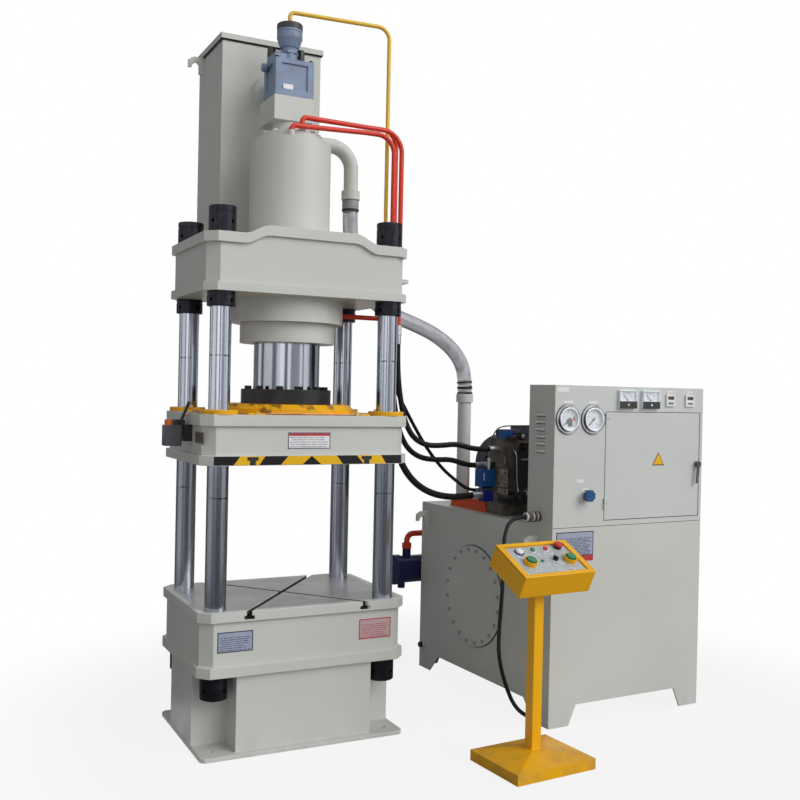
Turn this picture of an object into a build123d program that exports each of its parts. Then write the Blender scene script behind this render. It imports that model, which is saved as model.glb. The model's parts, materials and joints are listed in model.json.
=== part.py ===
"""Four-column hydraulic press with its power unit and its control pedestal.

Millimetres, +Z up. The origin is at the middle of the press, on the floor; +X runs
along its front to the right and +Y to its back. The power unit stands to the right and
the pedestal in front of it, each with a small turn of its own about Z.
"""
from build123d import *
import os
from math import cos, radians, sin, tan

# Clearances
seat_gap = 0.03          # radial play of a piece that is pressed, screwed or bolted in
run_gap = 0.06           # radial play of a piece that slides or turns in another
free_gap = 0.3           # space between curved faces that don't touch
column_seat_gap = 0.5    # table's seat round a column
column_play = 3          # slide's bore round a column, below the bush
collar_play = 2          # bush collar round a column

# Columns and their round nuts
column_x = 408
column_y = 265
column_r = 47.5
column_shoulder = 4.5    # step down to the necks that take the nuts
column_seat = 3          # how deep the full column stands in the table's top
column_groove = 2.5
column_groove_depth = 0.8
column_groove_rises = (492, 1117)     # above the table's top
nut_r = 61
nut_edge = 3
top_nut_height = 116
bottom_nut_height = 107
under_nut_r = 62.5
under_nut_height = 67
nut_bar_hole_r = 8
nut_bar_hole_depth = 13
nut_bar_hole_share = 0.4  # of the nut's height
nut_groove = 6
nut_groove_depth = 3
nut_groove_share = 0.74   # of the nut's height

# Table, slide and crown share the cut corners and the lip round their webs
beam_corner = 50
beam_lip = 15
table_side_edge = 31     # nut's rim to the table's side
table_front_edge = 29
table_height = 286
table_top_plate = 45
table_bottom_plate = 48
slide_side_edge = 35     # bush's rim to the slide's side
slide_front_edge = 21
slide_height = 223
slide_top_plate = 51
slide_bottom_plate = 43
crown_side_edge = 26     # nut's rim to the crown's side
crown_front_edge = 7
crown_height = 257
crown_top_plate = 45
crown_bottom_plate = 39
crown_rise = 42
crown_high_edge = 35     # barrel's side to the end of the crown's high part
crown_slope_run = 77
crown_bend_r = 100
daylight = 636           # table top to the slide's underside, as the press stands
column_clear = 1399      # table top to the crown's underside

# Press base
base_height = 357
base_wall = 16
base_side_inset = 16     # table's side to the base's side
base_front_inset = 23
base_nut_space_x = 22    # nut under the table to the base's walls
base_nut_space_y = 24
foot_side_step = 2       # foot plate beyond the base's sides
foot_front_step = 27
foot_thickness = 20
foot_corner = 18
anchor_side_inset = 66   # foot plate's side to an anchor hole's middle
anchor_front_inset = 79
anchor_hole_r = 13

# Diagonal T-slots of the table and the slide
slot_throat = 22
slot_head = 40
slot_head_height = 16
slot_depth = 38
slot_end_x = 282

# Cylinder, ram and filling valve
ram_r = 158
ram_length = 1000
piston_height = 60
piston_rim = 6           # bore beyond the ram
barrel_wall = 29
barrel_rise = 496        # above the crown's corners
shoulder_rim = 72        # beyond the barrel
shoulder_height = 113
gland_rim = 33           # beyond the barrel
gland_height = 94
head_plug = 40
head_inset = 43          # barrel's side to the head's side
head_rise = 34
oil_way_r = 50
valve_width = 200
valve_depth = 164
valve_back = 47          # valve's middle behind the cylinder's axis
adapter_depth = 220      # back from the valve's front face
adapter_height = 118
adapter_neck_r = 75
adapter_neck = 71        # head's top to the adapter's underside
valve_height = 175
valve_corner = 8
valve_panel_inset = 34   # frame round a sunk panel, beside it
valve_panel_low = 30
valve_panel_high = 22
valve_panel_sink = 8
valve_roof = 30          # metal over the valve's inner way
pilot_cap_r = 24
pilot_cap_height = 34
pilot_cap_inset = 6
pilot_block_height = 28
side_plug_r = 20
side_plug = 22
bowl_neck_r = 36
bowl_neck_height = 75
bowl_r = 62
bowl_taper_height = 41
bowl_height = 45
bowl_cap_height = 30
bowl_cap_bore = 12
port_pipe_r = 55
port_pipe_drop = 85      # below the valve block's top
port_flange_r = 98
port_flange = 20

# Ram flange and the yellow covers on the slide
ram_flange_rim = 57      # beyond the ram
ram_flange_height = 69
flange_screw_count = 12
flange_screw_inset = 27  # flange's rim to a screw's middle
flange_screw_r = 14
flange_screw_height = 15
center_cover_rim = 110   # beyond the ram flange
center_cover_height = 46
center_cover_bevel = 22
bush_wall = 12.5
bush_length = 150
bush_cover_rim = 25      # beyond the bush
bush_cover_height = 20
edge_chamfer = 3

# Filling tank behind the cylinder
tank_width = 522
tank_depth = 418
tank_stand_off = 97      # barrel's back to the tank
tank_height = 1072
tank_wall = 6
lid_overhang = 12
lid_height = 26
lid_sheet = 4
lid_corner = 6
return_pipe_r = 39
return_pipe_wall = 4
return_pipe_back = 160   # tank's front to the outlet pipe
return_pipe_out = 255    # tank's side to the pipe's lower leg
return_pipe_drop = 436   # below the tank's rim
return_pipe_end_drop = 716
return_bend_r = 120
pipe_collar_r = 50
pipe_collar = 48
bracket_plate = 20
bracket_inset = 81       # tank's side to a bracket
bracket_short = 90       # bracket's end to the tank's back
bracket_nose = 60

# Steel pipes down the crown's right side
red_pipe_r = 12
yellow_pipe_r = 10
pipe_end_drop = 92       # below the crown
hose_ferrule_r = 18
yellow_ferrule_r = 13
hose_ferrule = 50
pipe_union = 24
pipe_union_rim = 4
pipe_lead = 60           # level run out of the cylinder's top
pipe_swing = 150         # last run before the drop
pipe_foot_bend_r = 24
pipe_swing_bend_r = 90
outer_pipe_out = 72      # crown's side to each pipe's middle
inner_pipe_out = 29
ring_pipe_out = 89
yellow_pipe_out = 19
pressure_pipe_y = -60
ring_pipe_y = 40
ring_pipe_drop = 55      # below the crown
ring_block = 60
ring_block_r = 18
pipe_run_rise = 94       # above the barrel's top
pipe_run_steps = (0, 26, 56)          # inner, outer and ring pipe, one over another
inner_foot_angle = -110  # on the barrel's rim
inner_lead_rise = 49     # above the barrel's top
outer_foot_angle = -86   # on the head
outer_foot_inset = 28    # head's side to the pipe's middle
outer_lead_rise = 105
pipe_bend_r = (88, 104, 80)
yellow_pipe_rise = 62    # above the bowl's cap
yellow_bends = [24, 62]
pipe_clip_rise = 118     # above the crown's underside
pipe_clip = 20

# Grease pump on the slide's left side
grease_y = -100
grease_width = 90
grease_depth = 70
grease_height = 93
grease_mount = 18
grease_bottom = 76       # above the slide's underside
grease_body_height = 24
grease_plate = 14
grease_cap_r = 16
grease_cap_height = 24
grease_cap_inset = 20
lever_pivot_r = 5
lever_pivot_in = 24      # bracket to the lever's pivot
lever_pivot_drop = 8
lever_length = 96
lever_width = 12
lever_bar = 9
lever_lean = 22

# Power unit: its own frame starts at its front left foot
unit_x = 1160
unit_y = -585
unit_turn = 2.0
oil_tank_width = 976
oil_tank_depth = 1250
oil_tank_top = 972
oil_tank_bottom = 100
oil_tank_wall = 6
oil_tank_lid = 10
tank_foot_plate = 8
tank_foot_front = (122, 166)
tank_foot_side = (119, 210)
drain_plug_r = 15
drain_plug = 26
drain_plug_rise = 36
drain_plug_inset = 45
manhole_y = 677
manhole_drop = 15        # below the middle of the tank's side
manhole_r = 225
manhole_land = 45        # cover beyond the hole
manhole_cover = 12
manhole_bolt_inset = 20  # cover's rim to a bolt's middle
manhole_bolt_count = 20
manhole_bolt_r = 9
manhole_bolt_head = 9
hook_plate = 16
hook_inset = 74
hook_drop = 47           # below the oil tank's top
hook_front_inset = 110
hook_back_inset = 85
cabinet_depth = 207
cabinet_height = 695
cabinet_sheet = 3
louvre_y = (72, 146)
louvre_drop = 145        # below the cabinet's top
louvre_pitch = 35.6
louvre_count = 6
louvre_gap = 8
louvre_hood = 9
louvre_slit = 2.5
connector_y = 103
connector_rise = 48      # above the oil tank
connector_r = 22
connector_length = 88
door_side_gap = 18       # gauge flange to the door
door_right_margin = 24
door_sill = 29           # above the oil tank
door_gap = 3
door_sheet = 3
door_proud = 1
door_return = 15
hinge_inset = 57         # door's ends to a hinge
hinge_r = 5
hinge_pin_r = 2.5
hinge_knuckle = 26
hinge_stand = 6
hinge_leaf = 12
hinge_strap = 26
handle_inset = 17        # door's right edge to the handle's shaft
handle_rise = 269        # above the door's sill
handle_shaft_r = 8
handle_hub_r = 15
handle_hub = 22
handle_lever = 100
handle_lever_width = 13
handle_lever_depth = 8
handle_lean = 6
handle_cam = 28
handle_cam_plate = 4

# Instruments in the cabinet's front
gauge_edge = 12          # cabinet's side to the first flange
gauge_space = 20         # between the flanges
gauge_drop = 166         # below the cabinet's top
gauge_flange_r = 67
gauge_flange = 3
gauge_bezel_step = 9     # flange beyond the bezel
gauge_bezel_wall = 8
gauge_bezel = 14
gauge_case_step = 6      # bezel beyond the case
gauge_case_depth = 52
gauge_dial_rise = 2
gauge_pin_r = 1.5
gauge_needle_short = 8   # dial's rim to the needle's tip
gauge_needle_tail = 14
gauge_needle_width = 4
gauge_hub_r = 5
meter_shares = (0.458, 0.616)         # of the cabinet's width
meter_drop = 63          # below the cabinet's top
meter_width = 112
meter_height = 92
meter_front = 16
meter_dial_depth = 9
meter_border = 6
meter_cover = 36
meter_corner = 4
meter_body_r = 33
meter_body_depth = 45
meter_pin_r = 1.2
meter_pin_rise = 6
meter_needle = 36
meter_needle_width = 2
meter_hub_r = 3.4
meter_above_door = 20
timer_shares = (0.759, 0.8975)
timer_drop = 65
timer_side = 60
timer_front = 9
timer_border = 9
timer_window_rise = 4
timer_window_sink = 2
timer_body = 45
timer_body_depth = 90
relief_x = 196
relief_rise = 156        # above the oil tank
relief_knob_r = 29
relief_knob = 26
relief_flute_count = 8
relief_flute_r = 9
relief_flute_out = 5
relief_stem_r = 8
relief_stem = 20
relief_stand = 20
needle_thickness = 1.2

# Switchgear behind the door
board_margin = 25
board_plate = 12
device_gap = 20
contactors = (70, 85, 80, 0.72)       # width, height, depth and level on the board
relays = (44, 70, 60, 0.41)
terminal_height = 50
terminal_depth = 40
terminal_level = 0.09

# Motor, pump and valves on the oil tank
motor_x = 445
motor_shaft_height = 175
motor_back_inset = 140   # tank's back to the motor's
motor_cowl = 90
motor_body = 330
motor_body_r = 150
motor_wall = 22
motor_fin_count = 40
motor_fin = 20
motor_fin_width = 7
motor_shield = 20
motor_back_shield = 10
motor_shaft_r = 24
motor_fan_r = 125
motor_foot_width = 70
motor_foot_spread = 330
motor_foot_plate = 16
motor_foot_inset = 40
motor_web = 18
motor_box_width = 140
motor_box_depth = 150
motor_box_rise = 62
motor_grille_pitch = 26
motor_grille_slot = 10
cowl_sheet = 5
rotor_core_gap = 6
rotor_core_inset = 60
fan_hub_r = 50
fan_depth = 28
fan_blade = 6
fan_blade_count = 6
coupling_r = 56
coupling_length = 50
bell_length = 100
bell_r = 118
bell_wall = 14
pump_length = 130
pump_r = 72
pump_flange_width = 184
pump_flange_height = 120
pump_flange = 42
pump_port_r = 24
pump_port_inset = 45
pump_port_out = 40
unit_base_x = 60
unit_base_edge = 45      # motor's feet to the base's right end
unit_base_front = 26     # in front of the motor's body
unit_base_back = 16
unit_base_height = 60
unit_base_wall = 8
manifold_x = (60, 240)
manifold_gap = 4         # in front of the motor's base
manifold_depth = 170
manifold_height = 408
manifold_step = 200      # height of the wide lower block
manifold_step_in = (30, 15)
side_block = (60, 30, 40, 150)        # width, front inset, back inset and height
fitting_length = 62
fitting_r = 19
hose_a_port = (70, 350)  # behind the valve block's front, and above the oil tank
hose_b_port = (140, 260)
hose_c_port = (146, 126)
hose_d_port = (80, 110)
stand_pipe_x = 190
stand_pipe_back_inset = 140
stand_pipe_height = 641
stand_pipe_flange = 12
stand_pipe_flange_rim = 26

# Control valves
spool_width = 80
front_valve_inset = 20
front_valve_depth = 52
front_valve_rise = 60
front_valve_height = 70
front_coil_r = 22
front_coil_over = 60
side_valve_reach = 64
side_valve_depth = 70
side_valve_inset = 4
side_valve_rise = 152
side_valve_height = 76
upper_valve_inset = 40
upper_valve_margin = 20
upper_valve_height = 46
upper_coil_r = 19
upper_coil_over = 60
pilot_coil_x = 120
pilot_coil_drop = 40
pilot_coil_r = 24
pilot_coil = 60
pilot_tip_r = 12
pilot_tip = 15
relief_body = 60
relief_body_depth = 66
relief_neck = 24
relief_neck_r = 20

# Oil cooler behind the tank
cooler_stand = 15
cooler_r = 80
cooler_rise = 24         # above the middle of the tank's back
cooler_left_x = -140
cooler_length = 700
cooler_cap_rim = 8
cooler_cap = 40
cooler_neck_x = -48
cooler_neck_r = 25
cooler_neck = 44
cooler_drain_x = 60
cooler_drain_r = 22
cooler_drain = 30
cooler_pipe_r = 17
cooler_pipe_rise = 210
cooler_pipe_in_x = 120
cooler_pipe_bend_r = 42
cooler_union_r = 28
cooler_union = 32
saddle_inset = 230       # cooler's left end to the first saddle
saddle_span = 340
saddle_width = 30
saddle_drop = 24
saddle_hold = 20

# Control pedestal
pedestal_x = 831
pedestal_y = -932
pedestal_turn = 4.0
pedestal_width = 424
pedestal_depth = 344
pedestal_edge = 47
pedestal_apex = 28
pedestal_flat = 20       # flat top beyond the post
post_side = 51
post_wall = 4
console_x = 30
console_y = -24
console_z = 900
console_tilt = 26.7
console_height = 99
console_sheet = 3
console_side_rim = 30    # console beyond its plate
console_front_rim = 23.5
plate_side_rim = 12.5    # plate beyond the outer palm guard
plate_back_rim = 22      # plate beyond the emergency button's middle
plate_thickness = 3
plate_ledge = 12
button_r = 11
button_ring_r = 14.5
button_ring = 4
button_rise = 11
button_edge = 1.5
button_depth = 14        # below the plate's face
stop_head_r = 20
stop_head = 12
stop_stem_r = 9
stop_depth = 20
stop_lift = 12
stop_pad = 3
guard_r = 30
guard_wall = 4
guard_height = 20
palm_r = 22
palm_drop = 4            # stem's top below the guard's
lamp_r = 13
lamp_rise = 12
small_lamp_r = 8
small_lamp_rise = 7
lamp_bevel = 3
grip_length = 26
grip_width = 8
grip_height = 11
button_places = {
    "lamp": (-103, 62),
    "start": (-28, 68),
    "stop": (45, 70),
    "emergency": (120, 76),
    "palm_left": (-100, -20),
    "small_lamp": (-26, -11),
    "selector": (46, -9),
    "palm_right": (120, -20),
}

# Hose and cable sizes
hose_a_d = 28
hose_b_d = 28
hose_c_d = 18
hose_d_d = 34
clear_hose_d = 84
control_cable_d = 18
cable_entry_z = 200
smallest_turn_d = 5      # the printed list marks a radius under this many diameters

# Widths and places worked out from the sizes above
bush_r = column_r + bush_wall
bush_cover_r = bush_r + bush_cover_rim
column_neck_r = column_r - column_shoulder
table_width = 2 * (column_x + nut_r + table_side_edge)
table_depth = 2 * (column_y + nut_r + table_front_edge)
slide_width = 2 * (column_x + bush_r + slide_side_edge)
slide_depth = 2 * (column_y + bush_r + slide_front_edge)
crown_width = 2 * (column_x + nut_r + crown_side_edge)
crown_depth = 2 * (column_y + nut_r + crown_front_edge)
base_side_width = table_width - 2 * base_side_inset
base_side_depth = 2 * (column_y - nut_r - base_nut_space_y)
base_front_width = 2 * (column_x - nut_r - base_nut_space_x)
base_front_depth = table_depth - 2 * base_front_inset
foot_width = base_side_width + 2 * foot_side_step
foot_depth = base_front_depth + 2 * foot_front_step
anchor_x = foot_width / 2 - anchor_side_inset
anchor_y = foot_depth / 2 - anchor_front_inset
bore_r = ram_r + piston_rim
barrel_r = bore_r + barrel_wall
shoulder_r = barrel_r + shoulder_rim
gland_r = barrel_r + gland_rim
head_r = barrel_r - head_inset
crown_high_half = barrel_r + crown_high_edge
manhole_cover_r = manhole_r + manhole_land
manhole_bolt_circle_r = manhole_cover_r - manhole_bolt_inset
ram_flange_r = ram_r + ram_flange_rim
flange_screw_circle_r = ram_flange_r - flange_screw_inset
center_cover_r = ram_flange_r + center_cover_rim
tank_front_y = barrel_r + tank_stand_off
return_pipe_x = tank_width / 2 + return_pipe_out
return_pipe_y = tank_front_y + return_pipe_back
outer_pipe_x = crown_width / 2 + outer_pipe_out
inner_pipe_x = crown_width / 2 + inner_pipe_out
ring_pipe_x = crown_width / 2 + ring_pipe_out
yellow_pipe_x = crown_width / 2 + yellow_pipe_out
gauge_bezel_r = gauge_flange_r - gauge_bezel_step
gauge_dial_r = gauge_bezel_r - gauge_bezel_wall
gauge_case_r = gauge_bezel_r - gauge_case_step
first_gauge_x = gauge_edge + gauge_flange_r
gauge_xs = (first_gauge_x, first_gauge_x + 2 * gauge_flange_r + gauge_space)
meter_xs = [share * oil_tank_width for share in meter_shares]
timer_xs = [share * oil_tank_width for share in timer_shares]
door_left = gauge_xs[1] + gauge_flange_r + door_side_gap
door_width = oil_tank_width - door_left - door_right_margin
handle_x = door_left + door_width - handle_inset
motor_back_y = oil_tank_depth - motor_back_inset
motor_front_y = motor_back_y - motor_cowl - motor_body
bell_front_y = motor_front_y - bell_length
pump_front_y = bell_front_y - pump_length
unit_base_y = (motor_front_y - unit_base_front, motor_front_y + motor_body + unit_base_back)
manifold_back_y = unit_base_y[0] - manifold_gap
manifold_y = (manifold_back_y - manifold_depth, manifold_back_y)
stand_pipe_y = oil_tank_depth - stand_pipe_back_inset
hook_ys = (hook_front_inset, oil_tank_depth - hook_back_inset)
cooler_y = oil_tank_depth + cooler_stand + cooler_r
cooler_cap_r = cooler_r + cooler_cap_rim
first_saddle_x = cooler_left_x + saddle_inset
saddle_xs = (first_saddle_x, first_saddle_x + saddle_span)
plate_width = 2 * (button_places["palm_right"][0] + guard_r + plate_side_rim)
plate_depth = 2 * (button_places["emergency"][1] + plate_back_rim)
console_width = plate_width + 2 * console_side_rim
console_depth = plate_depth + 2 * console_front_rim
palm_lift = guard_height - palm_drop

# Levels worked out from the sizes above
table_bottom = base_height
table_top = table_bottom + table_height
slide_bottom = table_top + daylight
slide_top = slide_bottom + slide_height
crown_bottom = table_top + column_clear
crown_top = crown_bottom + crown_height
barrel_top = crown_top + barrel_rise
gland_top = crown_bottom - shoulder_height
gland_bottom = gland_top - gland_height
ram_bottom = slide_top + center_cover_height
ram_top = ram_bottom + ram_length
head_top = barrel_top + head_rise
adapter_bottom = head_top + adapter_neck
valve_bottom = adapter_bottom + adapter_height
valve_top = valve_bottom + valve_height
bowl_top = valve_top + bowl_neck_height + bowl_taper_height + bowl_height
port_z = valve_top - port_pipe_drop
tank_top = crown_top + tank_height
return_pipe_z = tank_top - return_pipe_drop
return_pipe_end = tank_top - return_pipe_end_drop
pipe_drop_z = crown_bottom - pipe_end_drop
ring_pipe_z = crown_bottom - ring_pipe_drop
pipe_clip_z = crown_bottom + pipe_clip_rise
oil_tank_middle = (oil_tank_bottom + oil_tank_top) / 2
manhole_z = oil_tank_middle - manhole_drop
hook_top = oil_tank_top - hook_drop
cabinet_top = oil_tank_top + cabinet_height
louvre_top_z = cabinet_top - louvre_drop
gauge_z = cabinet_top - gauge_drop
meter_z = cabinet_top - meter_drop
timer_z = cabinet_top - timer_drop
door_bottom = oil_tank_top + door_sill
door_top = meter_z - meter_height / 2 - meter_above_door
handle_z = door_bottom + handle_rise
hinge_zs = (door_bottom + hinge_inset, door_top - hinge_inset)
relief_z = oil_tank_top + relief_rise
connector_z = oil_tank_top + connector_rise
motor_z = oil_tank_top + unit_base_height + motor_shaft_height
stand_pipe_top = oil_tank_top + stand_pipe_height
cooler_z = oil_tank_middle + cooler_rise
cooler_pipe_top = cooler_z + cooler_pipe_rise
corners = [(x, y) for x in (-column_x, column_x) for y in (-column_y, column_y)]


def block(x0, x1, y0, y1, z0, z1):
    """Rectangular block between two opposite corners."""
    middle = Pos((x0 + x1) / 2, (y0 + y1) / 2, (z0 + z1) / 2)
    return middle * Box(abs(x1 - x0), abs(y1 - y0), abs(z1 - z0))


def upright(x, y, z0, z1, r):
    """Cylinder along Z."""
    return Pos(x, y, (z0 + z1) / 2) * Cylinder(r, abs(z1 - z0))


def along_y(x, z, y0, y1, r):
    """Cylinder along Y."""
    return Pos(x, (y0 + y1) / 2, z) * Rot(90, 0, 0) * Cylinder(r, abs(y1 - y0))


def along_x(y, z, x0, x1, r):
    """Cylinder along X."""
    return Pos((x0 + x1) / 2, y, z) * Rot(0, 90, 0) * Cylinder(r, abs(x1 - x0))


def cone(x, y, z0, z1, r0, r1):
    """Upright cone frustum from r0 at z0 to r1 at z1."""
    return Pos(x, y, (z0 + z1) / 2) * Cone(r0, r1, z1 - z0)


def profile_y(points, y0, y1):
    """Prism along Y of an outline given as (x, z) points."""
    face = make_face(Polyline(*[(x, y0, z) for x, z in points], close=True))
    return extrude(face, amount=y1 - y0, dir=(0, 1, 0))


def profile_x(points, x0, x1):
    """Prism along X of an outline given as (y, z) points."""
    face = make_face(Polyline(*[(x0, y, z) for y, z in points], close=True))
    return extrude(face, amount=x1 - x0, dir=(1, 0, 0))


def plate(width, depth, corner, z0, z1):
    """Plate about the Z axis with its four corners cut at 45 degrees."""
    x, y = width / 2, depth / 2
    outline = [
        (x - corner, -y), (x, -y + corner), (x, y - corner), (x - corner, y),
        (-x + corner, y), (-x, y - corner), (-x, -y + corner), (-x + corner, -y),
    ]
    face = make_face(Polyline(*[(px, py, z0) for px, py in outline], close=True))
    return extrude(face, amount=z1 - z0, dir=(0, 0, 1))


def group(solids):
    """Several like pieces that share one node."""
    return Compound(list(solids))


def bent_pipe(points, bend_r, r, wall=None):
    """Steel pipe along straight legs with equal bends, solid or with a wall."""
    path = FilletPolyline(*points, radius=bend_r)
    start = Plane(origin=path @ 0, z_dir=path % 0)
    pipe = sweep(start * Circle(r), path=path)
    if wall:
        pipe -= sweep(start * Circle(r - wall), path=path)
    return pipe


def hose(name, points, diameter):
    """Tube along a hose's route: straight runs with an arc as large as each pair allows."""
    places = [Vector(*point) for point in points]
    radii = []
    for before, here, after in zip(places, places[1:], places[2:]):
        turn = radians((here - before).get_angle(after - here))
        shorter = min((here - before).length, (after - here).length)
        radii.append(0.45 * shorter / tan(turn / 2))
    path = FilletPolyline(*points, radius=radii)
    tube = sweep(Plane(origin=path @ 0, z_dir=path % 0) * Circle(diameter / 2), path=path)
    marks = ["%.0f%s" % (r, "*" if r < smallest_turn_d * diameter else "") for r in radii]
    print(name, "length %.0f" % path.length, "radii", " ".join(marks))
    return tube


def on_unit(shape):
    """Place a piece of the power unit."""
    return Pos(unit_x, unit_y, 0) * Rot(0, 0, unit_turn) * shape


def unit_point(x, y, z):
    """A point of the power unit's own frame, in the press's frame."""
    turn = radians(unit_turn)
    return (unit_x + x * cos(turn) - y * sin(turn), unit_y + x * sin(turn) + y * cos(turn), z)


def on_pedestal(shape):
    """Place a piece of the pedestal."""
    return Pos(pedestal_x, pedestal_y, 0) * Rot(0, 0, pedestal_turn) * shape


def on_console(shape):
    """Place a piece whose X and Y lie in the console's sloping top, with Z out of it."""
    return on_pedestal(Pos(console_x, console_y, console_z) * Rot(console_tilt, 0, 0) * shape)


# Press frame

def base_frame():
    """Foot plate with a welded box whose corners stand back round the column nuts."""
    foot = plate(foot_width, foot_depth, foot_corner, 0, foot_thickness)
    for x in (-anchor_x, anchor_x):
        for y in (-anchor_y, anchor_y):
            foot -= upright(x, y, 0, foot_thickness, anchor_hole_r)

    def cross(inset):
        sides = block(-base_side_width / 2 + inset, base_side_width / 2 - inset,
                      -base_side_depth / 2 + inset, base_side_depth / 2 - inset,
                      foot_thickness, base_height)
        front = block(-base_front_width / 2 + inset, base_front_width / 2 - inset,
                      -base_front_depth / 2 + inset, base_front_depth / 2 - inset,
                      foot_thickness, base_height)
        return sides + front

    return foot + (cross(0) - cross(base_wall))


def beam(width, depth, z0, z1, bottom_plate, top_plate):
    """Press beam: a web between a bottom and a top plate that stand out round it."""
    web_width, web_depth = width - 2 * beam_lip, depth - 2 * beam_lip
    body = plate(web_width, web_depth, beam_corner, z0 + bottom_plate, z1 - top_plate)
    body += plate(width, depth, beam_corner, z0, z0 + bottom_plate)
    body += plate(width, depth, beam_corner, z1 - top_plate, z1)
    return body


def t_slots(depth, face_z, inward):
    """Two crossing T-slots cut from face_z; inward is -1 downward or 1 upward."""
    run = (slot_end_x ** 2 + (depth / 2) ** 2) ** 0.5
    turn = Vector(slot_end_x, depth / 2, 0).get_angle(Vector(1, 0, 0))
    deep = face_z + inward * slot_depth
    head = deep - inward * slot_head_height
    cut = block(-run * 1.2, run * 1.2, -slot_throat / 2, slot_throat / 2, face_z, deep)
    cut += block(-run * 1.2, run * 1.2, -slot_head / 2, slot_head / 2, head, deep)
    return Rot(0, 0, turn) * cut + Rot(0, 0, -turn) * cut


def bolster_table():
    """Table with crossing T-slots, and four holes for the columns with a shallow seat."""
    table = beam(table_width, table_depth, table_bottom, table_top,
                 table_bottom_plate, table_top_plate)
    table -= t_slots(table_depth, table_top, -1)
    for x, y in corners:
        table -= upright(x, y, table_bottom, table_top, column_neck_r + seat_gap)
        table -= upright(x, y, table_top - column_seat, table_top, column_r + column_seat_gap)
    return table


def guide_columns():
    """Four ground columns, necked at both ends for the nuts and marked with grooves."""
    low_end = table_bottom - bottom_nut_height
    high_end = crown_top + top_nut_height
    seat_z = table_top - column_seat
    neck_z = crown_bottom - under_nut_height
    column = upright(0, 0, seat_z, neck_z, column_r)
    column += upright(0, 0, low_end, seat_z, column_neck_r)
    column += upright(0, 0, neck_z, high_end, column_neck_r)
    for rise in column_groove_rises:
        z = table_top + rise
        ring = upright(0, 0, z, z + column_groove, column_r)
        column -= ring - upright(0, 0, z, z + column_groove, column_r - column_groove_depth)
    return group(Pos(x, y, 0) * column for x, y in corners)


def round_nut(r, z0, height, groove_share):
    """Round nut with bar holes round it and one turned groove."""
    nut = upright(0, 0, z0, z0 + height, r)
    nut = chamfer(nut.edges().filter_by(GeomType.CIRCLE), nut_edge)
    groove_z = z0 + height * groove_share
    ring = upright(0, 0, groove_z, groove_z + nut_groove, r)
    nut -= ring - upright(0, 0, groove_z, groove_z + nut_groove, r - nut_groove_depth)
    nut -= upright(0, 0, z0, z0 + height, column_neck_r + seat_gap)
    bar_z = z0 + height * nut_bar_hole_share
    for angle in range(30, 390, 90):
        hole = along_x(0, bar_z, r - nut_bar_hole_depth, r + 1, nut_bar_hole_r)
        nut -= Rot(0, 0, angle) * hole
    return nut


def column_nuts():
    """Nuts on top of the crown, under the crown and under the table."""
    top = round_nut(nut_r, crown_top, top_nut_height, nut_groove_share)
    under = round_nut(under_nut_r, crown_bottom - under_nut_height, under_nut_height,
                      nut_groove_share)
    bottom = round_nut(nut_r, table_bottom - bottom_nut_height, bottom_nut_height,
                       1 - nut_groove_share)
    return group(Pos(x, y, 0) * nut for nut in (top, under, bottom) for x, y in corners)


def stepped_block(top):
    """Block of the crown's width up to top, whose upper side rises over the cylinder."""
    half = crown_width / 2
    slope_end = crown_high_half + crown_slope_run
    high = top + crown_rise
    steps = [(half, top), (slope_end, top), (crown_high_half, high), (-crown_high_half, high),
             (-slope_end, top), (-half, top)]
    upper = FilletPolyline(*[(x, -crown_depth, z) for x, z in steps], radius=crown_bend_r)
    lower = Polyline((-half, -crown_depth, top), (-half, -crown_depth, crown_bottom),
                     (half, -crown_depth, crown_bottom), (half, -crown_depth, top))
    face = make_face(upper.edges() + lower.edges())
    return extrude(face, amount=2 * crown_depth, dir=(0, 1, 0))


def tank_bracket(x):
    """Plate behind the crown that carries the filling tank."""
    web_back = crown_depth / 2 - beam_lip
    plate_back = crown_depth / 2
    low = crown_bottom + crown_bottom_plate
    under = crown_top - crown_top_plate
    end = tank_front_y + tank_depth - bracket_short
    outline = [(web_back, low), (web_back, under), (plate_back, under), (plate_back, crown_top),
               (end, crown_top), (end, crown_top - bracket_nose)]
    return profile_x(outline, x - bracket_plate / 2, x + bracket_plate / 2)


def pipe_clip_bar():
    """Bar on the crown's right side that holds the pipes."""
    clip = block(crown_width / 2 - beam_lip, ring_pipe_x + 2 * red_pipe_r,
                 pressure_pipe_y - 2 * red_pipe_r, ring_pipe_y + 2 * red_pipe_r,
                 pipe_clip_z, pipe_clip_z + pipe_clip)
    for x, y, r in pipe_drops():
        clip -= upright(x, y, pipe_clip_z, pipe_clip_z + pipe_clip, r + seat_gap)
    return clip


def crown_beam():
    """Crown with its raised middle, the tank's two brackets and the pipe clip."""
    tall = crown_top + 2 * crown_rise
    web_top = stepped_block(crown_top - crown_top_plate)
    web = plate(crown_width - 2 * beam_lip, crown_depth - 2 * beam_lip, beam_corner,
                crown_bottom + crown_bottom_plate, tall)
    top = plate(crown_width, crown_depth, beam_corner, crown_bottom, tall)
    bottom = plate(crown_width, crown_depth, beam_corner, crown_bottom,
                   crown_bottom + crown_bottom_plate)
    crown = bottom + (web & web_top) + (top & (stepped_block(crown_top) - web_top))
    crown -= block(-tank_width / 2, tank_width / 2, tank_front_y, crown_depth / 2 + 1,
                   crown_top, tall)
    crown -= upright(0, 0, crown_bottom, tall, barrel_r + seat_gap)
    for x, y in corners:
        crown -= upright(x, y, crown_bottom, tall, column_neck_r + seat_gap)
    bracket_x = tank_width / 2 - bracket_inset
    return group([crown, tank_bracket(-bracket_x), tank_bracket(bracket_x), pipe_clip_bar()])


# Cylinder, ram and slide

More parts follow.
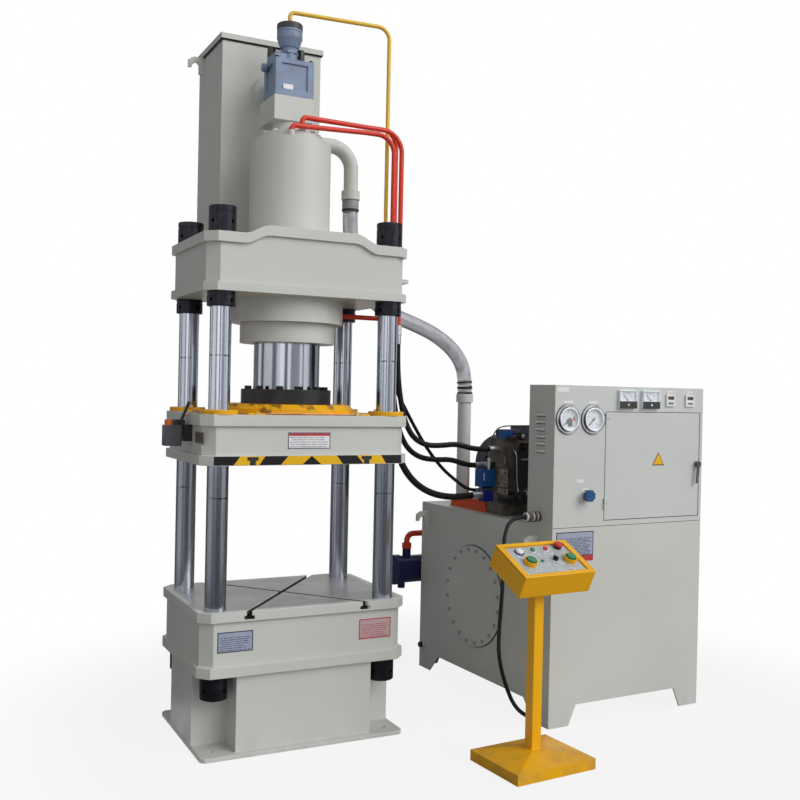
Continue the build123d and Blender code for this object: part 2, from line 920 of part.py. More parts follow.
def cylinder_barrel():
    """Cylinder with the shoulder that takes its thrust under the crown."""
    barrel = upright(0, 0, gland_top, barrel_top, barrel_r)
    barrel += upright(0, 0, gland_top, crown_bottom, shoulder_r)
    barrel -= upright(0, 0, gland_top, barrel_top, bore_r)
    ring_port = along_x(ring_pipe_y, ring_pipe_z, bore_r - 2, shoulder_r, red_pipe_r - 3)
    return barrel - ring_port


def cylinder_head():
    """Head that closes the cylinder, with the oil way for quick filling."""
    head = upright(0, 0, barrel_top - head_plug, barrel_top, bore_r - seat_gap)
    head += upright(0, 0, barrel_top, head_top, head_r)
    return head - upright(0, valve_back, barrel_top - head_plug, head_top, oil_way_r)


def gland_ring():
    """Gland under the cylinder that guides and seals the ram."""
    ring = upright(0, 0, gland_bottom, gland_top, gland_r)
    return ring - upright(0, 0, gland_bottom, gland_top, ram_r + run_gap)


def main_ram():
    """Ground ram with its piston at the top."""
    ram = upright(0, 0, ram_bottom, ram_top, ram_r)
    return ram + upright(0, 0, ram_top - piston_height, ram_top, bore_r - run_gap)


def ram_flange():
    """Ring that bolts the ram down to the slide."""
    ring = upright(0, 0, ram_bottom, ram_bottom + ram_flange_height, ram_flange_r)
    ring = chamfer(ring.edges().filter_by(GeomType.CIRCLE), edge_chamfer)
    return ring - upright(0, 0, ram_bottom, ram_bottom + ram_flange_height, ram_r + seat_gap)


def ram_flange_screws():
    """Socket screws on the ram flange."""
    top = ram_bottom + ram_flange_height
    screw = upright(flange_screw_circle_r, 0, top, top + flange_screw_height, flange_screw_r)
    screw -= upright(flange_screw_circle_r, 0, top + flange_screw_height / 2,
                     top + flange_screw_height, flange_screw_r / 2)
    step = 360 / flange_screw_count
    return group(Rot(0, 0, step * i) * screw for i in range(flange_screw_count))


def slide_beam():
    """Moving slide with T-slots in its underside and bored for the guide bushes."""
    slide = beam(slide_width, slide_depth, slide_bottom, slide_top,
                 slide_bottom_plate, slide_top_plate)
    slide -= t_slots(slide_depth, slide_bottom, 1)
    for x, y in corners:
        slide -= upright(x, y, slide_bottom, slide_top, column_r + column_play)
        slide -= upright(x, y, slide_top - bush_length, slide_top, bush_r + seat_gap)
    return slide


def slide_covers():
    """Yellow cover under the ram flange and yellow collars over the guide bushes."""
    middle = upright(0, 0, slide_top, ram_bottom, center_cover_r)
    middle = chamfer(middle.edges().group_by(Axis.Z)[-1], center_cover_bevel)
    collars = []
    for x, y in corners:
        collar = upright(x, y, slide_top, slide_top + bush_cover_height, bush_cover_r)
        collar = chamfer(collar.edges().group_by(Axis.Z)[-1], edge_chamfer)
        collars.append(collar - upright(x, y, slide_top, slide_top + bush_cover_height,
                                        column_r + collar_play))
        middle -= upright(x, y, slide_top, ram_bottom, bush_cover_r + free_gap)
    return group([middle] + collars)


def guide_bushes():
    """Bronze bushes that run on the columns."""
    z0 = slide_top - bush_length
    return group(upright(x, y, z0, slide_top, bush_r)
                 - upright(x, y, z0, slide_top, column_r + run_gap) for x, y in corners)


# Filling valve, tank and pipes above the crown

def valve_adapter():
    """Block on a neck between the cylinder head and the filling valve."""
    front = valve_back - valve_depth / 2
    body = block(-valve_width / 2, valve_width / 2, front, front + adapter_depth,
                 adapter_bottom, valve_bottom)
    body += upright(0, valve_back, head_top, adapter_bottom, adapter_neck_r)
    return body - upright(0, valve_back, head_top, valve_bottom, oil_way_r)


def filling_valve():
    """Valve block with panelled faces, a port to the tank and two pilot caps."""
    x, y = valve_width / 2, valve_depth / 2
    body = block(-x, x, -y, y, valve_bottom, valve_top)
    body = fillet(body.edges().filter_by(Axis.Z), valve_corner)
    low, high = valve_bottom + valve_panel_low, valve_top - valve_panel_high
    frame = valve_panel_inset
    for side in (-1, 1):
        body -= block(side * (x - valve_panel_sink), side * x, -y + frame, y - frame, low, high)
    body -= block(-x + frame, x - frame, -y, -y + valve_panel_sink, low, high)
    body -= upright(0, 0, valve_bottom, valve_top - valve_roof, oil_way_r)
    body -= along_y(0, port_z, 0, y, port_pipe_r - tank_wall)
    cap_x, cap_y = -x + pilot_cap_r + pilot_cap_inset, y - pilot_cap_r - pilot_cap_inset
    body += upright(cap_x, cap_y, valve_top, valve_top + pilot_cap_height, pilot_cap_r)
    body += block(cap_x - pilot_cap_r, -bowl_neck_r, -y + side_plug_r, cap_y,
                  valve_top, valve_top + pilot_block_height)
    plug_y, plug_z = y / 2, valve_top - valve_panel_high
    body += along_x(plug_y, plug_z, -x - side_plug, -x, side_plug_r)
    return Pos(0, valve_back, 0) * body


def valve_bowl():
    """Pilot head on the filling valve: neck and cup, with its screwed cap."""
    neck_top = valve_top + bowl_neck_height
    cup = neck_top + bowl_taper_height
    bowl = upright(0, valve_back, valve_top, neck_top, bowl_neck_r)
    bowl += cone(0, valve_back, neck_top, cup, bowl_neck_r, bowl_r)
    bowl += upright(0, valve_back, cup, bowl_top, bowl_r)
    cap = upright(0, valve_back, bowl_top, bowl_top + bowl_cap_height, bowl_r)
    cap -= upright(0, valve_back, bowl_top + bowl_cap_height - bowl_cap_bore,
                   bowl_top + bowl_cap_height, yellow_pipe_r + seat_gap)
    return group([bowl, cap])


def filling_tank():
    """Sheet tank behind the cylinder with its welded port, outlet pipe and hooks."""
    x = tank_width / 2
    y0, y1 = tank_front_y, tank_front_y + tank_depth
    tank = block(-x, x, y0, y1, crown_top, tank_top)
    valve_rear = valve_back + valve_depth / 2
    port = along_y(0, port_z, valve_rear, y0, port_pipe_r)
    port += along_y(0, port_z, y0 - port_flange, y0, port_flange_r)
    tank += port
    start = (x - tank_wall, return_pipe_y, return_pipe_z)
    bend = (return_pipe_x, return_pipe_y, return_pipe_z)
    end = (return_pipe_x, return_pipe_y, return_pipe_end)
    tank += bent_pipe([start, bend, end], return_bend_r, return_pipe_r)
    tank += upright(return_pipe_x, return_pipe_y, return_pipe_end,
                    return_pipe_end + pipe_collar, pipe_collar_r)
    for side in (-1, 1):
        outline = hook_outline(side * x, side, tank_top - lid_height)
        tank += profile_y(outline, y1 - hook_inset - hook_plate, y1 - hook_inset)
    tank -= block(-x + tank_wall, x - tank_wall, y0 + tank_wall, y1 - tank_wall,
                  crown_top + tank_wall, tank_top)
    tank -= along_y(0, port_z, valve_rear, y0 + tank_wall, port_pipe_r - tank_wall)
    tank -= bent_pipe([(x - 2 * tank_wall, return_pipe_y, return_pipe_z), bend,
                       (return_pipe_x, return_pipe_y, return_pipe_end + 1)],
                      return_bend_r, return_pipe_r - return_pipe_wall)
    return tank


def hook_outline(wall_x, side, top):
    """Lifting hook in X and Z, open downward, on a wall that faces side."""
    steps = [(0, 0), (58, 0), (84, 18), (84, 56), (68, 56), (62, 38), (42, 26),
             (28, 40), (28, 88), (0, 88)]
    return [(wall_x + side * out, top - down) for out, down in steps]


def filling_tank_lid():
    """Folded lid over the tank's rim."""
    x = tank_width / 2 + lid_overhang
    y0, y1 = tank_front_y - lid_overhang, tank_front_y + tank_depth + lid_overhang
    low = tank_top - lid_height + lid_sheet
    lid = block(-x, x, y0, y1, low, tank_top + lid_sheet)
    lid = fillet(lid.edges().filter_by(Axis.Z), lid_corner)
    return lid - block(-x + lid_sheet, x - lid_sheet, y0 + lid_sheet, y1 - lid_sheet,
                       low, tank_top)


def pipe_drops():
    """Places and radii of the pipes that run down the crown's right side."""
    return [
        (outer_pipe_x, pressure_pipe_y, red_pipe_r),
        (inner_pipe_x, pressure_pipe_y, red_pipe_r),
        (ring_pipe_x, ring_pipe_y, red_pipe_r),
        (yellow_pipe_x, 0, yellow_pipe_r),
    ]


def pressure_pipe(x, foot_r, foot_angle, foot_z, lead_z, run_z, bend_r):
    """Pipe from the cylinder's top across the crown and down its right side."""
    y = pressure_pipe_y
    foot_x, foot_y = foot_r * cos(radians(foot_angle)), foot_r * sin(radians(foot_angle))
    legs = [(foot_x, foot_y, foot_z), (foot_x, foot_y, lead_z),
            (foot_x + pipe_lead, foot_y, lead_z), (x - pipe_swing, y, run_z), (x, y, run_z),
            (x, y, pipe_drop_z)]
    bends = [pipe_foot_bend_r, pipe_swing_bend_r, pipe_swing_bend_r, bend_r]
    pipe = bent_pipe(legs, bends, red_pipe_r)
    pipe += upright(foot_x, foot_y, foot_z, foot_z + pipe_union,
                    red_pipe_r + pipe_union_rim)
    return pipe + upright(x, y, pipe_drop_z - hose_ferrule, pipe_drop_z, hose_ferrule_r)


def ring_side_pipe(run_z, bend_r):
    """Pipe from the valve over the crown and down to the cylinder's ring side."""
    x, y = ring_pipe_x, ring_pipe_y
    half = ring_block / 2
    pipe = bent_pipe([(valve_width / 2, y, run_z), (x, y, run_z), (x, y, ring_pipe_z + half)],
                     bend_r, red_pipe_r)
    pipe += upright(x, y, ring_pipe_z - half, ring_pipe_z + half, ring_block_r)
    shoulder_x = (shoulder_r ** 2 - y ** 2) ** 0.5
    pipe += along_x(y, ring_pipe_z, shoulder_x, x, red_pipe_r)
    pipe += along_x(y, ring_pipe_z, shoulder_x, shoulder_x + pipe_union,
                    red_pipe_r + pipe_union_rim)
    pipe -= upright(0, 0, ring_pipe_z - half, ring_pipe_z + half, shoulder_r + free_gap)
    return pipe + upright(x, y, pipe_drop_z - hose_ferrule, ring_pipe_z - half, hose_ferrule_r)


def red_pipes():
    """Three pressure pipes: two to the cylinder's top and one to its ring side."""
    levels = [barrel_top + pipe_run_rise + step for step in pipe_run_steps]
    return group([
        pressure_pipe(inner_pipe_x, (barrel_r + bore_r) / 2, inner_foot_angle, barrel_top,
                      barrel_top + inner_lead_rise, levels[0], pipe_bend_r[0]),
        pressure_pipe(outer_pipe_x, head_r - outer_foot_inset, outer_foot_angle, head_top,
                      barrel_top + outer_lead_rise, levels[1], pipe_bend_r[1]),
        ring_side_pipe(levels[2], pipe_bend_r[2]),
    ])


def yellow_pipe():
    """Pilot pipe from the valve's cap over to the crown's right side and down."""
    start = bowl_top + bowl_cap_height - bowl_cap_bore
    over = bowl_top + bowl_cap_height + yellow_pipe_rise
    pipe = bent_pipe([(0, valve_back, start), (0, valve_back, over), (yellow_pipe_x, 0, over),
                      (yellow_pipe_x, 0, pipe_drop_z)], yellow_bends, yellow_pipe_r)
    return pipe + upright(yellow_pipe_x, 0, pipe_drop_z - hose_ferrule, pipe_drop_z,
                          yellow_ferrule_r)


# Grease pump

def grease_levels():
    """Slide's side, reservoir bottom and top, and the lever's pivot in X and Z."""
    near = -slide_width / 2 - grease_mount
    z0 = slide_bottom + grease_bottom
    z1 = z0 + grease_height
    return near, z0, z1, near - lever_pivot_in, z1 + grease_body_height - lever_pivot_drop


def grease_pump():
    """Bracket and pump body over the grease reservoir."""
    near, z0, z1, pivot_x, pivot_z = grease_levels()
    wall = -slide_width / 2 + beam_lip
    y0, y1 = grease_y - grease_depth / 2, grease_y + grease_depth / 2
    body = block(near, wall, y0 + 8, y1 - 8, z0 + 20, slide_top - slide_top_plate - 2)
    body += block(near - grease_width / 2, near, y0 + 6, y1 - 6, z1, z1 + grease_body_height)
    body += block(near - grease_plate, near, y0 + 8, y1 - 8, z0 + 40, z1)
    return body - along_y(pivot_x, pivot_z, y0 - 1, y0 + 16, lever_pivot_r + run_gap)


def grease_reservoir():
    """Clear reservoir with its screw cap."""
    near, z0, z1 = grease_levels()[:3]
    far = near - grease_width
    y0, y1 = grease_y - grease_depth / 2, grease_y + grease_depth / 2
    tub = block(far, near - grease_plate, y0, y1, z0, z1)
    tub = fillet(tub.edges().filter_by(Axis.Z), 8)
    return tub + upright(far + grease_cap_inset, grease_y, z1, z1 + grease_cap_height,
                         grease_cap_r)


def grease_lever():
    """Hand lever that works the grease pump."""
    pivot_x, pivot_z = grease_levels()[3:]
    y0 = grease_y - grease_depth / 2
    lever = along_y(pivot_x, pivot_z, y0 - 12, y0 + 14, lever_pivot_r)
    bar = block(-lever_width / 2, lever_width / 2, y0 - 12, y0 - 12 + lever_bar, 0, lever_length)
    return lever + Pos(pivot_x, 0, pivot_z) * Rot(0, lever_lean, 0) * bar


# Power unit

def tank_foot(x_side, y_side):
    """One foot of the oil tank: two plates that carry its walls down to the floor."""
    x0 = 0 if x_side < 0 else oil_tank_width
    y0 = 0 if y_side < 0 else oil_tank_depth
    front = [(x0, 0), (x0 - x_side * tank_foot_front[0], 0),
             (x0 - x_side * tank_foot_front[1], oil_tank_bottom), (x0, oil_tank_bottom)]
    side = [(y0, 0), (y0 - y_side * tank_foot_side[0], 0),
            (y0 - y_side * tank_foot_side[1], oil_tank_bottom), (y0, oil_tank_bottom)]
    foot = profile_y(front, *sorted((y0, y0 - y_side * tank_foot_plate)))
    return foot + profile_x(side, *sorted((x0, x0 - x_side * tank_foot_plate)))


def oil_tank():
    """Welded oil tank on four feet, with the manhole, hooks and drain plug."""
    w, d, t = oil_tank_width, oil_tank_depth, oil_tank_wall
    tank = block(0, w, 0, d, oil_tank_bottom, oil_tank_top)
    tank -= block(t, w - t, t, d - t, oil_tank_bottom + t, oil_tank_top - oil_tank_lid)
    tank -= along_x(manhole_y, manhole_z, -1, t + 1, manhole_r)
    for x_side in (-1, 1):
        for y_side in (-1, 1):
            tank += tank_foot(x_side, y_side)
    for y in hook_ys:
        tank += profile_y(hook_outline(0, -1, hook_top), y, y + hook_plate)
        tank += profile_y(hook_outline(w, 1, hook_top), y, y + hook_plate)
    tank += along_x(d - drain_plug_inset, oil_tank_bottom + drain_plug_rise,
                    -drain_plug, 0, drain_plug_r)
    return on_unit(tank)


def manhole_lid():
    """Round cover over the manhole in the tank's left side."""
    lid = along_x(manhole_y, manhole_z, -manhole_cover, 0, manhole_cover_r)
    return on_unit(lid)


def manhole_bolts():
    """Hexagon bolts round the manhole cover."""
    bolts = []
    for i in range(manhole_bolt_count):
        angle = radians(360 / manhole_bolt_count * (i + 0.5))
        y = manhole_y + manhole_bolt_circle_r * cos(angle)
        z = manhole_z + manhole_bolt_circle_r * sin(angle)
        head = extrude(RegularPolygon(manhole_bolt_r, 6), manhole_bolt_head)
        bolts.append(on_unit(Pos(-manhole_cover, y, z) * Rot(0, -90, 0) * head))
    return group(bolts)


def cabinet_shell():
    """Folded cabinet on the tank's front edge, cut for its door and instruments."""
    w, d, s = oil_tank_width, cabinet_depth, cabinet_sheet
    z0, z1 = oil_tank_top, cabinet_top
    shell = block(0, w, 0, d, z0, z1)
    shell -= block(s, w - s, s, d - s, z0 + s, z1 - s)
    shell -= block(door_left - door_gap, door_left + door_width + door_gap, -1, s + 1,
                   door_bottom - door_gap, door_top + door_gap)
    for x in gauge_xs:
        shell -= along_y(x, gauge_z, -1, s + 1, gauge_case_r + free_gap)
    for x in meter_xs:
        shell -= along_y(x, meter_z, -1, s + 1, meter_body_r + free_gap)
    for x in timer_xs:
        half = timer_body / 2 + free_gap
        shell -= block(x - half, x + half, -1, s + 1, timer_z - half, timer_z + half)
    shell -= along_y(relief_x, relief_z, -1, s + 1, relief_stem_r + run_gap)
    for i in range(louvre_count):
        z = louvre_top_z - i * louvre_pitch
        y0, y1 = louvre_y
        hood = [(0, z - louvre_gap), (-louvre_hood, z - louvre_gap), (-louvre_hood + 2, z),
                (0, z + louvre_gap)]
        shell += profile_y(hood, y0 - s, y1 + s)
        shell -= block(-louvre_hood + louvre_slit, s + 1, y0, y1, z - louvre_gap - 1, z - louvre_gap + 3)
        shell -= block(-0.5, s + 1, y0, y1, z - louvre_gap + 2, z - 1)
    shell += along_x(connector_y, connector_z, -connector_length, 0, connector_r)
    for z in hinge_zs:
        leaf = block(door_left - door_gap - hinge_leaf, door_left - door_gap, -hinge_pin_r, 0,
                     z, z + hinge_knuckle)
        barrel = upright(door_left - door_gap, -hinge_stand, z, z + hinge_knuckle, hinge_r)
        neck = block(door_left - door_gap - hinge_r, door_left - door_gap, -hinge_stand, 0,
                     z, z + hinge_knuckle)
        pin = upright(door_left - door_gap, -hinge_stand, z, z + 2 * hinge_knuckle - 2,
                      hinge_pin_r)
        shell += leaf + barrel + neck + pin
    return on_unit(shell)


def cabinet_door():
    """Tray-shaped door with its two hinge knuckles and the hole for the handle."""
    x0, x1 = door_left, door_left + door_width
    door = block(x0, x1, -door_proud, door_return, door_bottom, door_top)
    door -= block(x0 + door_sheet, x1 - door_sheet, door_sheet - door_proud, door_return,
                  door_bottom + door_sheet, door_top - door_sheet)
    axis_x = door_left - door_gap
    strap_end = door_left + hinge_strap
    for z in hinge_zs:
        low, high = z + hinge_knuckle + free_gap, z + 2 * hinge_knuckle
        door += block(axis_x, strap_end, -hinge_stand, -hinge_stand / 2, low, high)
        door += block(strap_end - 10, strap_end, -hinge_stand, 0, low, high)
        door += upright(axis_x, -hinge_stand, low, high, hinge_r)
        door -= upright(axis_x, -hinge_stand, low, high, hinge_pin_r + run_gap)
    door -= along_y(handle_x, handle_z, -door_proud, door_return, handle_shaft_r + run_gap)
    return on_unit(door)


def door_handle():
    """Turning handle with its hub in front of the door and its cam behind it."""
    front = -door_proud - free_gap
    cam = door_return + handle_cam_plate
    handle = along_y(handle_x, handle_z, front - handle_hub, front, handle_hub_r)
    handle += along_y(handle_x, handle_z, front, cam + handle_cam_plate, handle_shaft_r)
    lever = block(-handle_lever_width / 2, handle_lever_width / 2,
                  front - handle_hub, front - handle_hub + handle_lever_depth, -handle_lever, 0)
    handle += Pos(handle_x, 0, handle_z) * Rot(0, handle_lean, 0) * lever
    handle += block(handle_x - handle_shaft_r, handle_x + handle_shaft_r,
                    cam, cam + handle_cam_plate, handle_z - handle_cam, handle_z)
    return on_unit(handle)


def pressure_gauge(x):
    """Flanged gauge case with a raised bezel, a dial and the needle's pin."""
    front = -gauge_flange - gauge_bezel
    dial = -gauge_flange - gauge_dial_rise
    case = along_y(x, gauge_z, -gauge_flange, 0, gauge_flange_r)
    case += along_y(x, gauge_z, front, -gauge_flange, gauge_bezel_r)
    case += along_y(x, gauge_z, 0, gauge_case_depth, gauge_case_r)
    case -= along_y(x, gauge_z, front, dial, gauge_dial_r)
    return case + along_y(x, gauge_z, dial - 8, dial, gauge_pin_r)


def pressure_gauges():
    """The two pressure gauges."""
    return group(on_unit(pressure_gauge(x)) for x in gauge_xs)


def gauge_needle_at(x):
    """Needle that rests at the start of its scale, lower left."""
    dial = -gauge_flange - gauge_dial_rise
    half = gauge_needle_width / 2
    tip = gauge_dial_r - gauge_needle_short
    needle = block(-half, half, dial - 5, dial - 5 + needle_thickness, -gauge_needle_tail, tip)
    needle += along_y(0, 0, dial - 6.5, dial - 2, gauge_hub_r)
    needle = Rot(0, -135, 0) * needle
    needle -= along_y(0, 0, dial - 9, dial, gauge_pin_r + run_gap)
    return on_unit(Pos(x, 0, gauge_z) * needle)


def panel_meter(x):
    """Panel meter with a sunk scale, a cover below it and its needle's pin."""
    half_x, half_z = meter_width / 2, meter_height / 2
    case = block(x - half_x, x + half_x, -meter_front, 0, meter_z - half_z, meter_z + half_z)
    case = fillet(case.edges().filter_by(Axis.Y), meter_corner)
    low = meter_z - half_z + meter_cover
    dial = -meter_front + meter_dial_depth
    case -= block(x - half_x + meter_border, x + half_x - meter_border, -meter_front, dial,
                  low, meter_z + half_z - meter_border)
    case += along_y(x, meter_z, 0, meter_body_depth, meter_body_r)
    return case + along_y(x, low + meter_pin_rise, dial - 5, dial, meter_pin_r)


def panel_timer(x):
    """Square timer with a sunk display and its body behind the panel."""
    half, body = timer_side / 2, timer_body / 2
    timer = block(x - half, x + half, -timer_front, 0, timer_z - half, timer_z + half)
    timer -= block(x - half + timer_border, x + half - timer_border,
                   -timer_front, -timer_front + timer_window_sink,
                   timer_z + timer_window_rise, timer_z + half - timer_border)
    return timer + block(x - body, x + body, 0, timer_body_depth, timer_z - body, timer_z + body)


def panel_instruments():
    """Two panel meters and two timers."""
    pieces = [panel_meter(x) for x in meter_xs] + [panel_timer(x) for x in timer_xs]
    return group(on_unit(piece) for piece in pieces)


def meter_needle_at(x):
    """Meter needle at rest on zero, to the left."""
    pin_z = meter_z - meter_height / 2 + meter_cover + meter_pin_rise
    dial = -meter_front + meter_dial_depth
    half = meter_needle_width / 2
    needle = block(-half, half, dial - 3, dial - 3 + needle_thickness, 0, meter_needle)
    needle += along_y(0, 0, dial - 4.5, dial - 1, meter_hub_r)
    needle = Rot(0, -45, 0) * needle
    needle -= along_y(0, 0, dial - 6, dial, meter_pin_r + run_gap)
    return on_unit(Pos(x, 0, pin_z) * needle)


def relief_knob_piece():
    """Fluted knob of the relief valve on its stem."""
    front = -relief_stand
    flute_circle_r = relief_knob_r + relief_flute_out
    knob = along_y(relief_x, relief_z, front - relief_knob, front, relief_knob_r)
    for i in range(relief_flute_count):
        angle = radians(360 / relief_flute_count * i)
        knob -= along_y(relief_x + flute_circle_r * cos(angle),
                        relief_z + flute_circle_r * sin(angle),
                        front - relief_knob, front, relief_flute_r)
    return on_unit(knob + along_y(relief_x, relief_z, front, cabinet_sheet + relief_stem,
                                  relief_stem_r))


def device_row(x0, x1, front, z0, height, device):
    """As many like devices as fit side by side between x0 and x1 on the board."""
    width, tall, deep, level = device
    count = int((x1 - x0 - device_gap) // (width + device_gap))
    pitch = (x1 - x0) / count
    z = z0 + level * height
    row = []
    for i in range(count):
        x = x0 + (i + 0.5) * pitch
        row.append(block(x - width / 2, x + width / 2, front - deep, front, z, z + tall))
    return row


def switchgear():
    """Mounting plate with contactors, relays and a terminal strip behind the door."""
    back = cabinet_depth - cabinet_sheet
    front = back - board_plate
    x0, x1 = door_left + board_margin, door_left + door_width - board_margin
    z0, z1 = door_bottom + board_margin, door_top - board_margin
    height = z1 - z0
    board = block(x0, x1, front, back, z0, z1)
    for device in device_row(x0, x1, front, z0, height, contactors):
        board += device
    for device in device_row(x0, x1, front, z0, height, relays):
        board += device
    strip_z = z0 + terminal_level * height
    board += block(x0 + device_gap, x1 - device_gap, front - terminal_depth, front,
                   strip_z, strip_z + terminal_height)
    return on_unit(board)


def motor_foot(side):
    """Foot of the motor with the web that carries its body."""
    x = motor_x + side * motor_foot_spread / 2
    half = motor_foot_width / 2
    web_x = x - side * (half - 13)
    floor = oil_tank_top + unit_base_height
    y0, y1 = motor_front_y + motor_foot_inset, motor_front_y + motor_body - motor_foot_inset
    foot = block(x - half, x + half, y0, y1, floor, floor + motor_foot_plate)
    return foot + block(web_x - motor_web / 2, web_x + motor_web / 2, y0 + 10, y1 - 10,
                        floor, motor_z - 60)


def motor_body_piece():
    """Finned motor frame with end shields, feet, terminal box and fan cowl."""
    y0 = motor_front_y
    y1 = y0 + motor_body
    back = motor_back_y
    z = motor_z
    top_r = motor_body_r + motor_fin
    body = along_y(motor_x, z, y0, y1, motor_body_r)
    half = motor_fin_width / 2
    for i in range(motor_fin_count):
        fin = block(motor_body_r - 2, top_r, y0 + motor_shield, y1 - motor_back_shield,
                    -half, half)
        body += Pos(motor_x, 0, z) * Rot(0, 360 / motor_fin_count * i, 0) * fin
    body += along_y(motor_x, z, y0, y0 + motor_shield, top_r)
    body += along_y(motor_x, z, y1 - motor_back_shield, back, top_r)
    body += motor_foot(-1) + motor_foot(1)
    box_y = y0 + motor_box_depth * 0.4
    body += block(motor_x - motor_box_width / 2, motor_x + motor_box_width / 2,
                  box_y, box_y + motor_box_depth, z + motor_body_r - motor_fin,
                  z + top_r + motor_box_rise)
    body -= along_y(motor_x, z, y0 + motor_shield, y1 - motor_shield, motor_body_r - motor_wall)
    body -= along_y(motor_x, z, y1 + cowl_sheet, back - cowl_sheet, top_r - cowl_sheet)
    body -= along_y(motor_x, z, y0 - 1, back - cowl_sheet, motor_shaft_r + run_gap)
    slot = motor_grille_slot / 2
    for i in range(-4, 5):
        level = z + i * motor_grille_pitch
        cut = (motor_body_r ** 2 - (i * motor_grille_pitch) ** 2) ** 0.5 * 0.8
        body -= block(motor_x - cut, motor_x + cut, back - cowl_sheet, back,
                      level - slot, level + slot)
    return on_unit(body)


def motor_rotor():
    """Rotor core on its shaft with the cooling fan and the coupling half."""
    y0, y1 = motor_front_y, motor_front_y + motor_body
    coupling_y = y0 - cowl_sheet - coupling_length
    fan_y = y1 + fan_depth
    core_r = motor_body_r - motor_wall - rotor_core_gap
    rotor = along_y(motor_x, motor_z, coupling_y, motor_back_y - fan_depth, motor_shaft_r)
    rotor += along_y(motor_x, motor_z, y0 + rotor_core_inset, y1 - rotor_core_inset, core_r)
    rotor += along_y(motor_x, motor_z, fan_y, fan_y + fan_depth, fan_hub_r)
    for i in range(fan_blade_count):
        blade = block(0, motor_fan_r, fan_y, fan_y + fan_depth, -fan_blade / 2, fan_blade / 2)
        rotor += Pos(motor_x, 0, motor_z) * Rot(0, 360 / fan_blade_count * i, 0) * blade
    rotor += along_y(motor_x, motor_z, coupling_y, coupling_y + coupling_length, coupling_r)
    return on_unit(rotor)


def pump():
    """Bell housing and gear pump in line with the motor."""
    y0, y1 = bell_front_y, motor_front_y
    port_y = pump_front_y + pump_port_inset
    bell = along_y(motor_x, motor_z, y0, y1, bell_r)
    bell -= along_y(motor_x, motor_z, y0 + bell_wall, y1, bell_r - bell_wall)
    body = along_y(motor_x, motor_z, pump_front_y, y0, pump_r)
    body += block(motor_x - pump_flange_width / 2, motor_x + pump_flange_width / 2,
                  y0 - pump_flange, y0, motor_z - pump_flange_height / 2,
                  motor_z + pump_flange_height / 2)
    body += along_x(port_y, motor_z, motor_x - pump_r - pump_port_out, motor_x, pump_port_r)
    body += upright(motor_x, port_y, oil_tank_top, motor_z, pump_port_r)
    return on_unit(bell + body)


def unit_base():
    """Orange base frame under the motor."""
    x0 = unit_base_x
    x1 = motor_x + motor_foot_spread / 2 + motor_foot_width / 2 + unit_base_edge
    y0, y1 = unit_base_y
    z0 = oil_tank_top
    z1 = z0 + unit_base_height
    lean = unit_base_height / 3
    wall = unit_base_wall
    base = profile_x([(y0, z0), (y1, z0), (y1 - lean, z1), (y0 + lean, z1)], x0, x1)
    inside = profile_x([(y0 + wall, z0), (y1 - wall, z0), (y1 - lean - wall, z1 - wall),
                        (y0 + lean + wall, z1 - wall)], x0 + wall, x1 - wall)
    return on_unit(base - inside)


def unit_port(port):
    """A port on the valve block's left face: its place in Y and its height."""
    back, rise = port
    return manifold_y[0] + back, oil_tank_top + rise


def valve_manifold():
    """Steel valve block with the hose ends screwed into its left face."""
    x0, x1 = manifold_x
    y0, y1 = manifold_y
    z0 = oil_tank_top
    step_x, step_y = manifold_step_in
    side_width, side_front, side_back, side_height = side_block
    body = block(x0, x1, y0, y1, z0, z0 + manifold_step)
    body += block(x0, x1 - step_x, y0 + step_y, y1, z0 + manifold_step, z0 + manifold_height)
    body += block(x1, x1 + side_width, y0 + side_front, y1 - side_back, z0, z0 + side_height)
    for port in (hose_a_port, hose_b_port, hose_c_port, hose_d_port):
        body += along_x(*unit_port(port), x0 - fitting_length, x0, fitting_r)
    return on_unit(body)


def front_valve():
    """Valve on the block's front with a coil out of each end."""
    left = manifold_x[0] + front_valve_inset
    right = left + spool_width
    y = manifold_y[0]
    z0 = oil_tank_top + front_valve_rise
    body = block(left, right, y - front_valve_depth, y, z0, z0 + front_valve_height)
    return body + along_x(y - front_valve_depth / 2, z0 + front_valve_height / 2,
                          left - front_coil_over, right + front_coil_over, front_coil_r)


def side_valve():
    """Valve on the block's left face."""
    x = manifold_x[0]
    y = manifold_y[1] - side_valve_inset
    z0 = oil_tank_top + side_valve_rise
    return block(x - side_valve_reach, x, y - side_valve_depth, y, z0, z0 + side_valve_height)


def upper_valve():
    """Valve on top of the block with a coil out of its front."""
    left = manifold_x[0] + upper_valve_inset
    y0, y1 = manifold_y
    top = oil_tank_top + manifold_height
    body = block(left, left + spool_width, y0 + upper_valve_margin, y1 - upper_valve_margin,
                 top, top + upper_valve_height)
    return body + along_y(left + spool_width / 3, top + upper_valve_height / 2,
                          y0 + upper_valve_margin - upper_coil_over, y1, upper_coil_r)


def pilot_coil_piece():
    """Coil in the front of the block's upper part."""
    x = manifold_x[0] + pilot_coil_x
    back = manifold_y[0] + manifold_step_in[1]
    z = oil_tank_top + manifold_height - pilot_coil_drop
    coil = along_y(x, z, back - pilot_coil, back, pilot_coil_r)
    return coil + along_y(x, z, back - pilot_coil - pilot_tip, back - pilot_coil, pilot_tip_r)


def relief_valve():
    """Relief valve behind the cabinet's front, round the knob's stem."""
    y0 = cabinet_sheet + relief_neck
    half = relief_body / 2
    body = block(relief_x - half, relief_x + half, y0, y0 + relief_body_depth,
                 relief_z - half, relief_z + half)
    body += along_y(relief_x, relief_z, cabinet_sheet, y0, relief_neck_r)
    return body - along_y(relief_x, relief_z, cabinet_sheet, y0, relief_stem_r + run_gap)


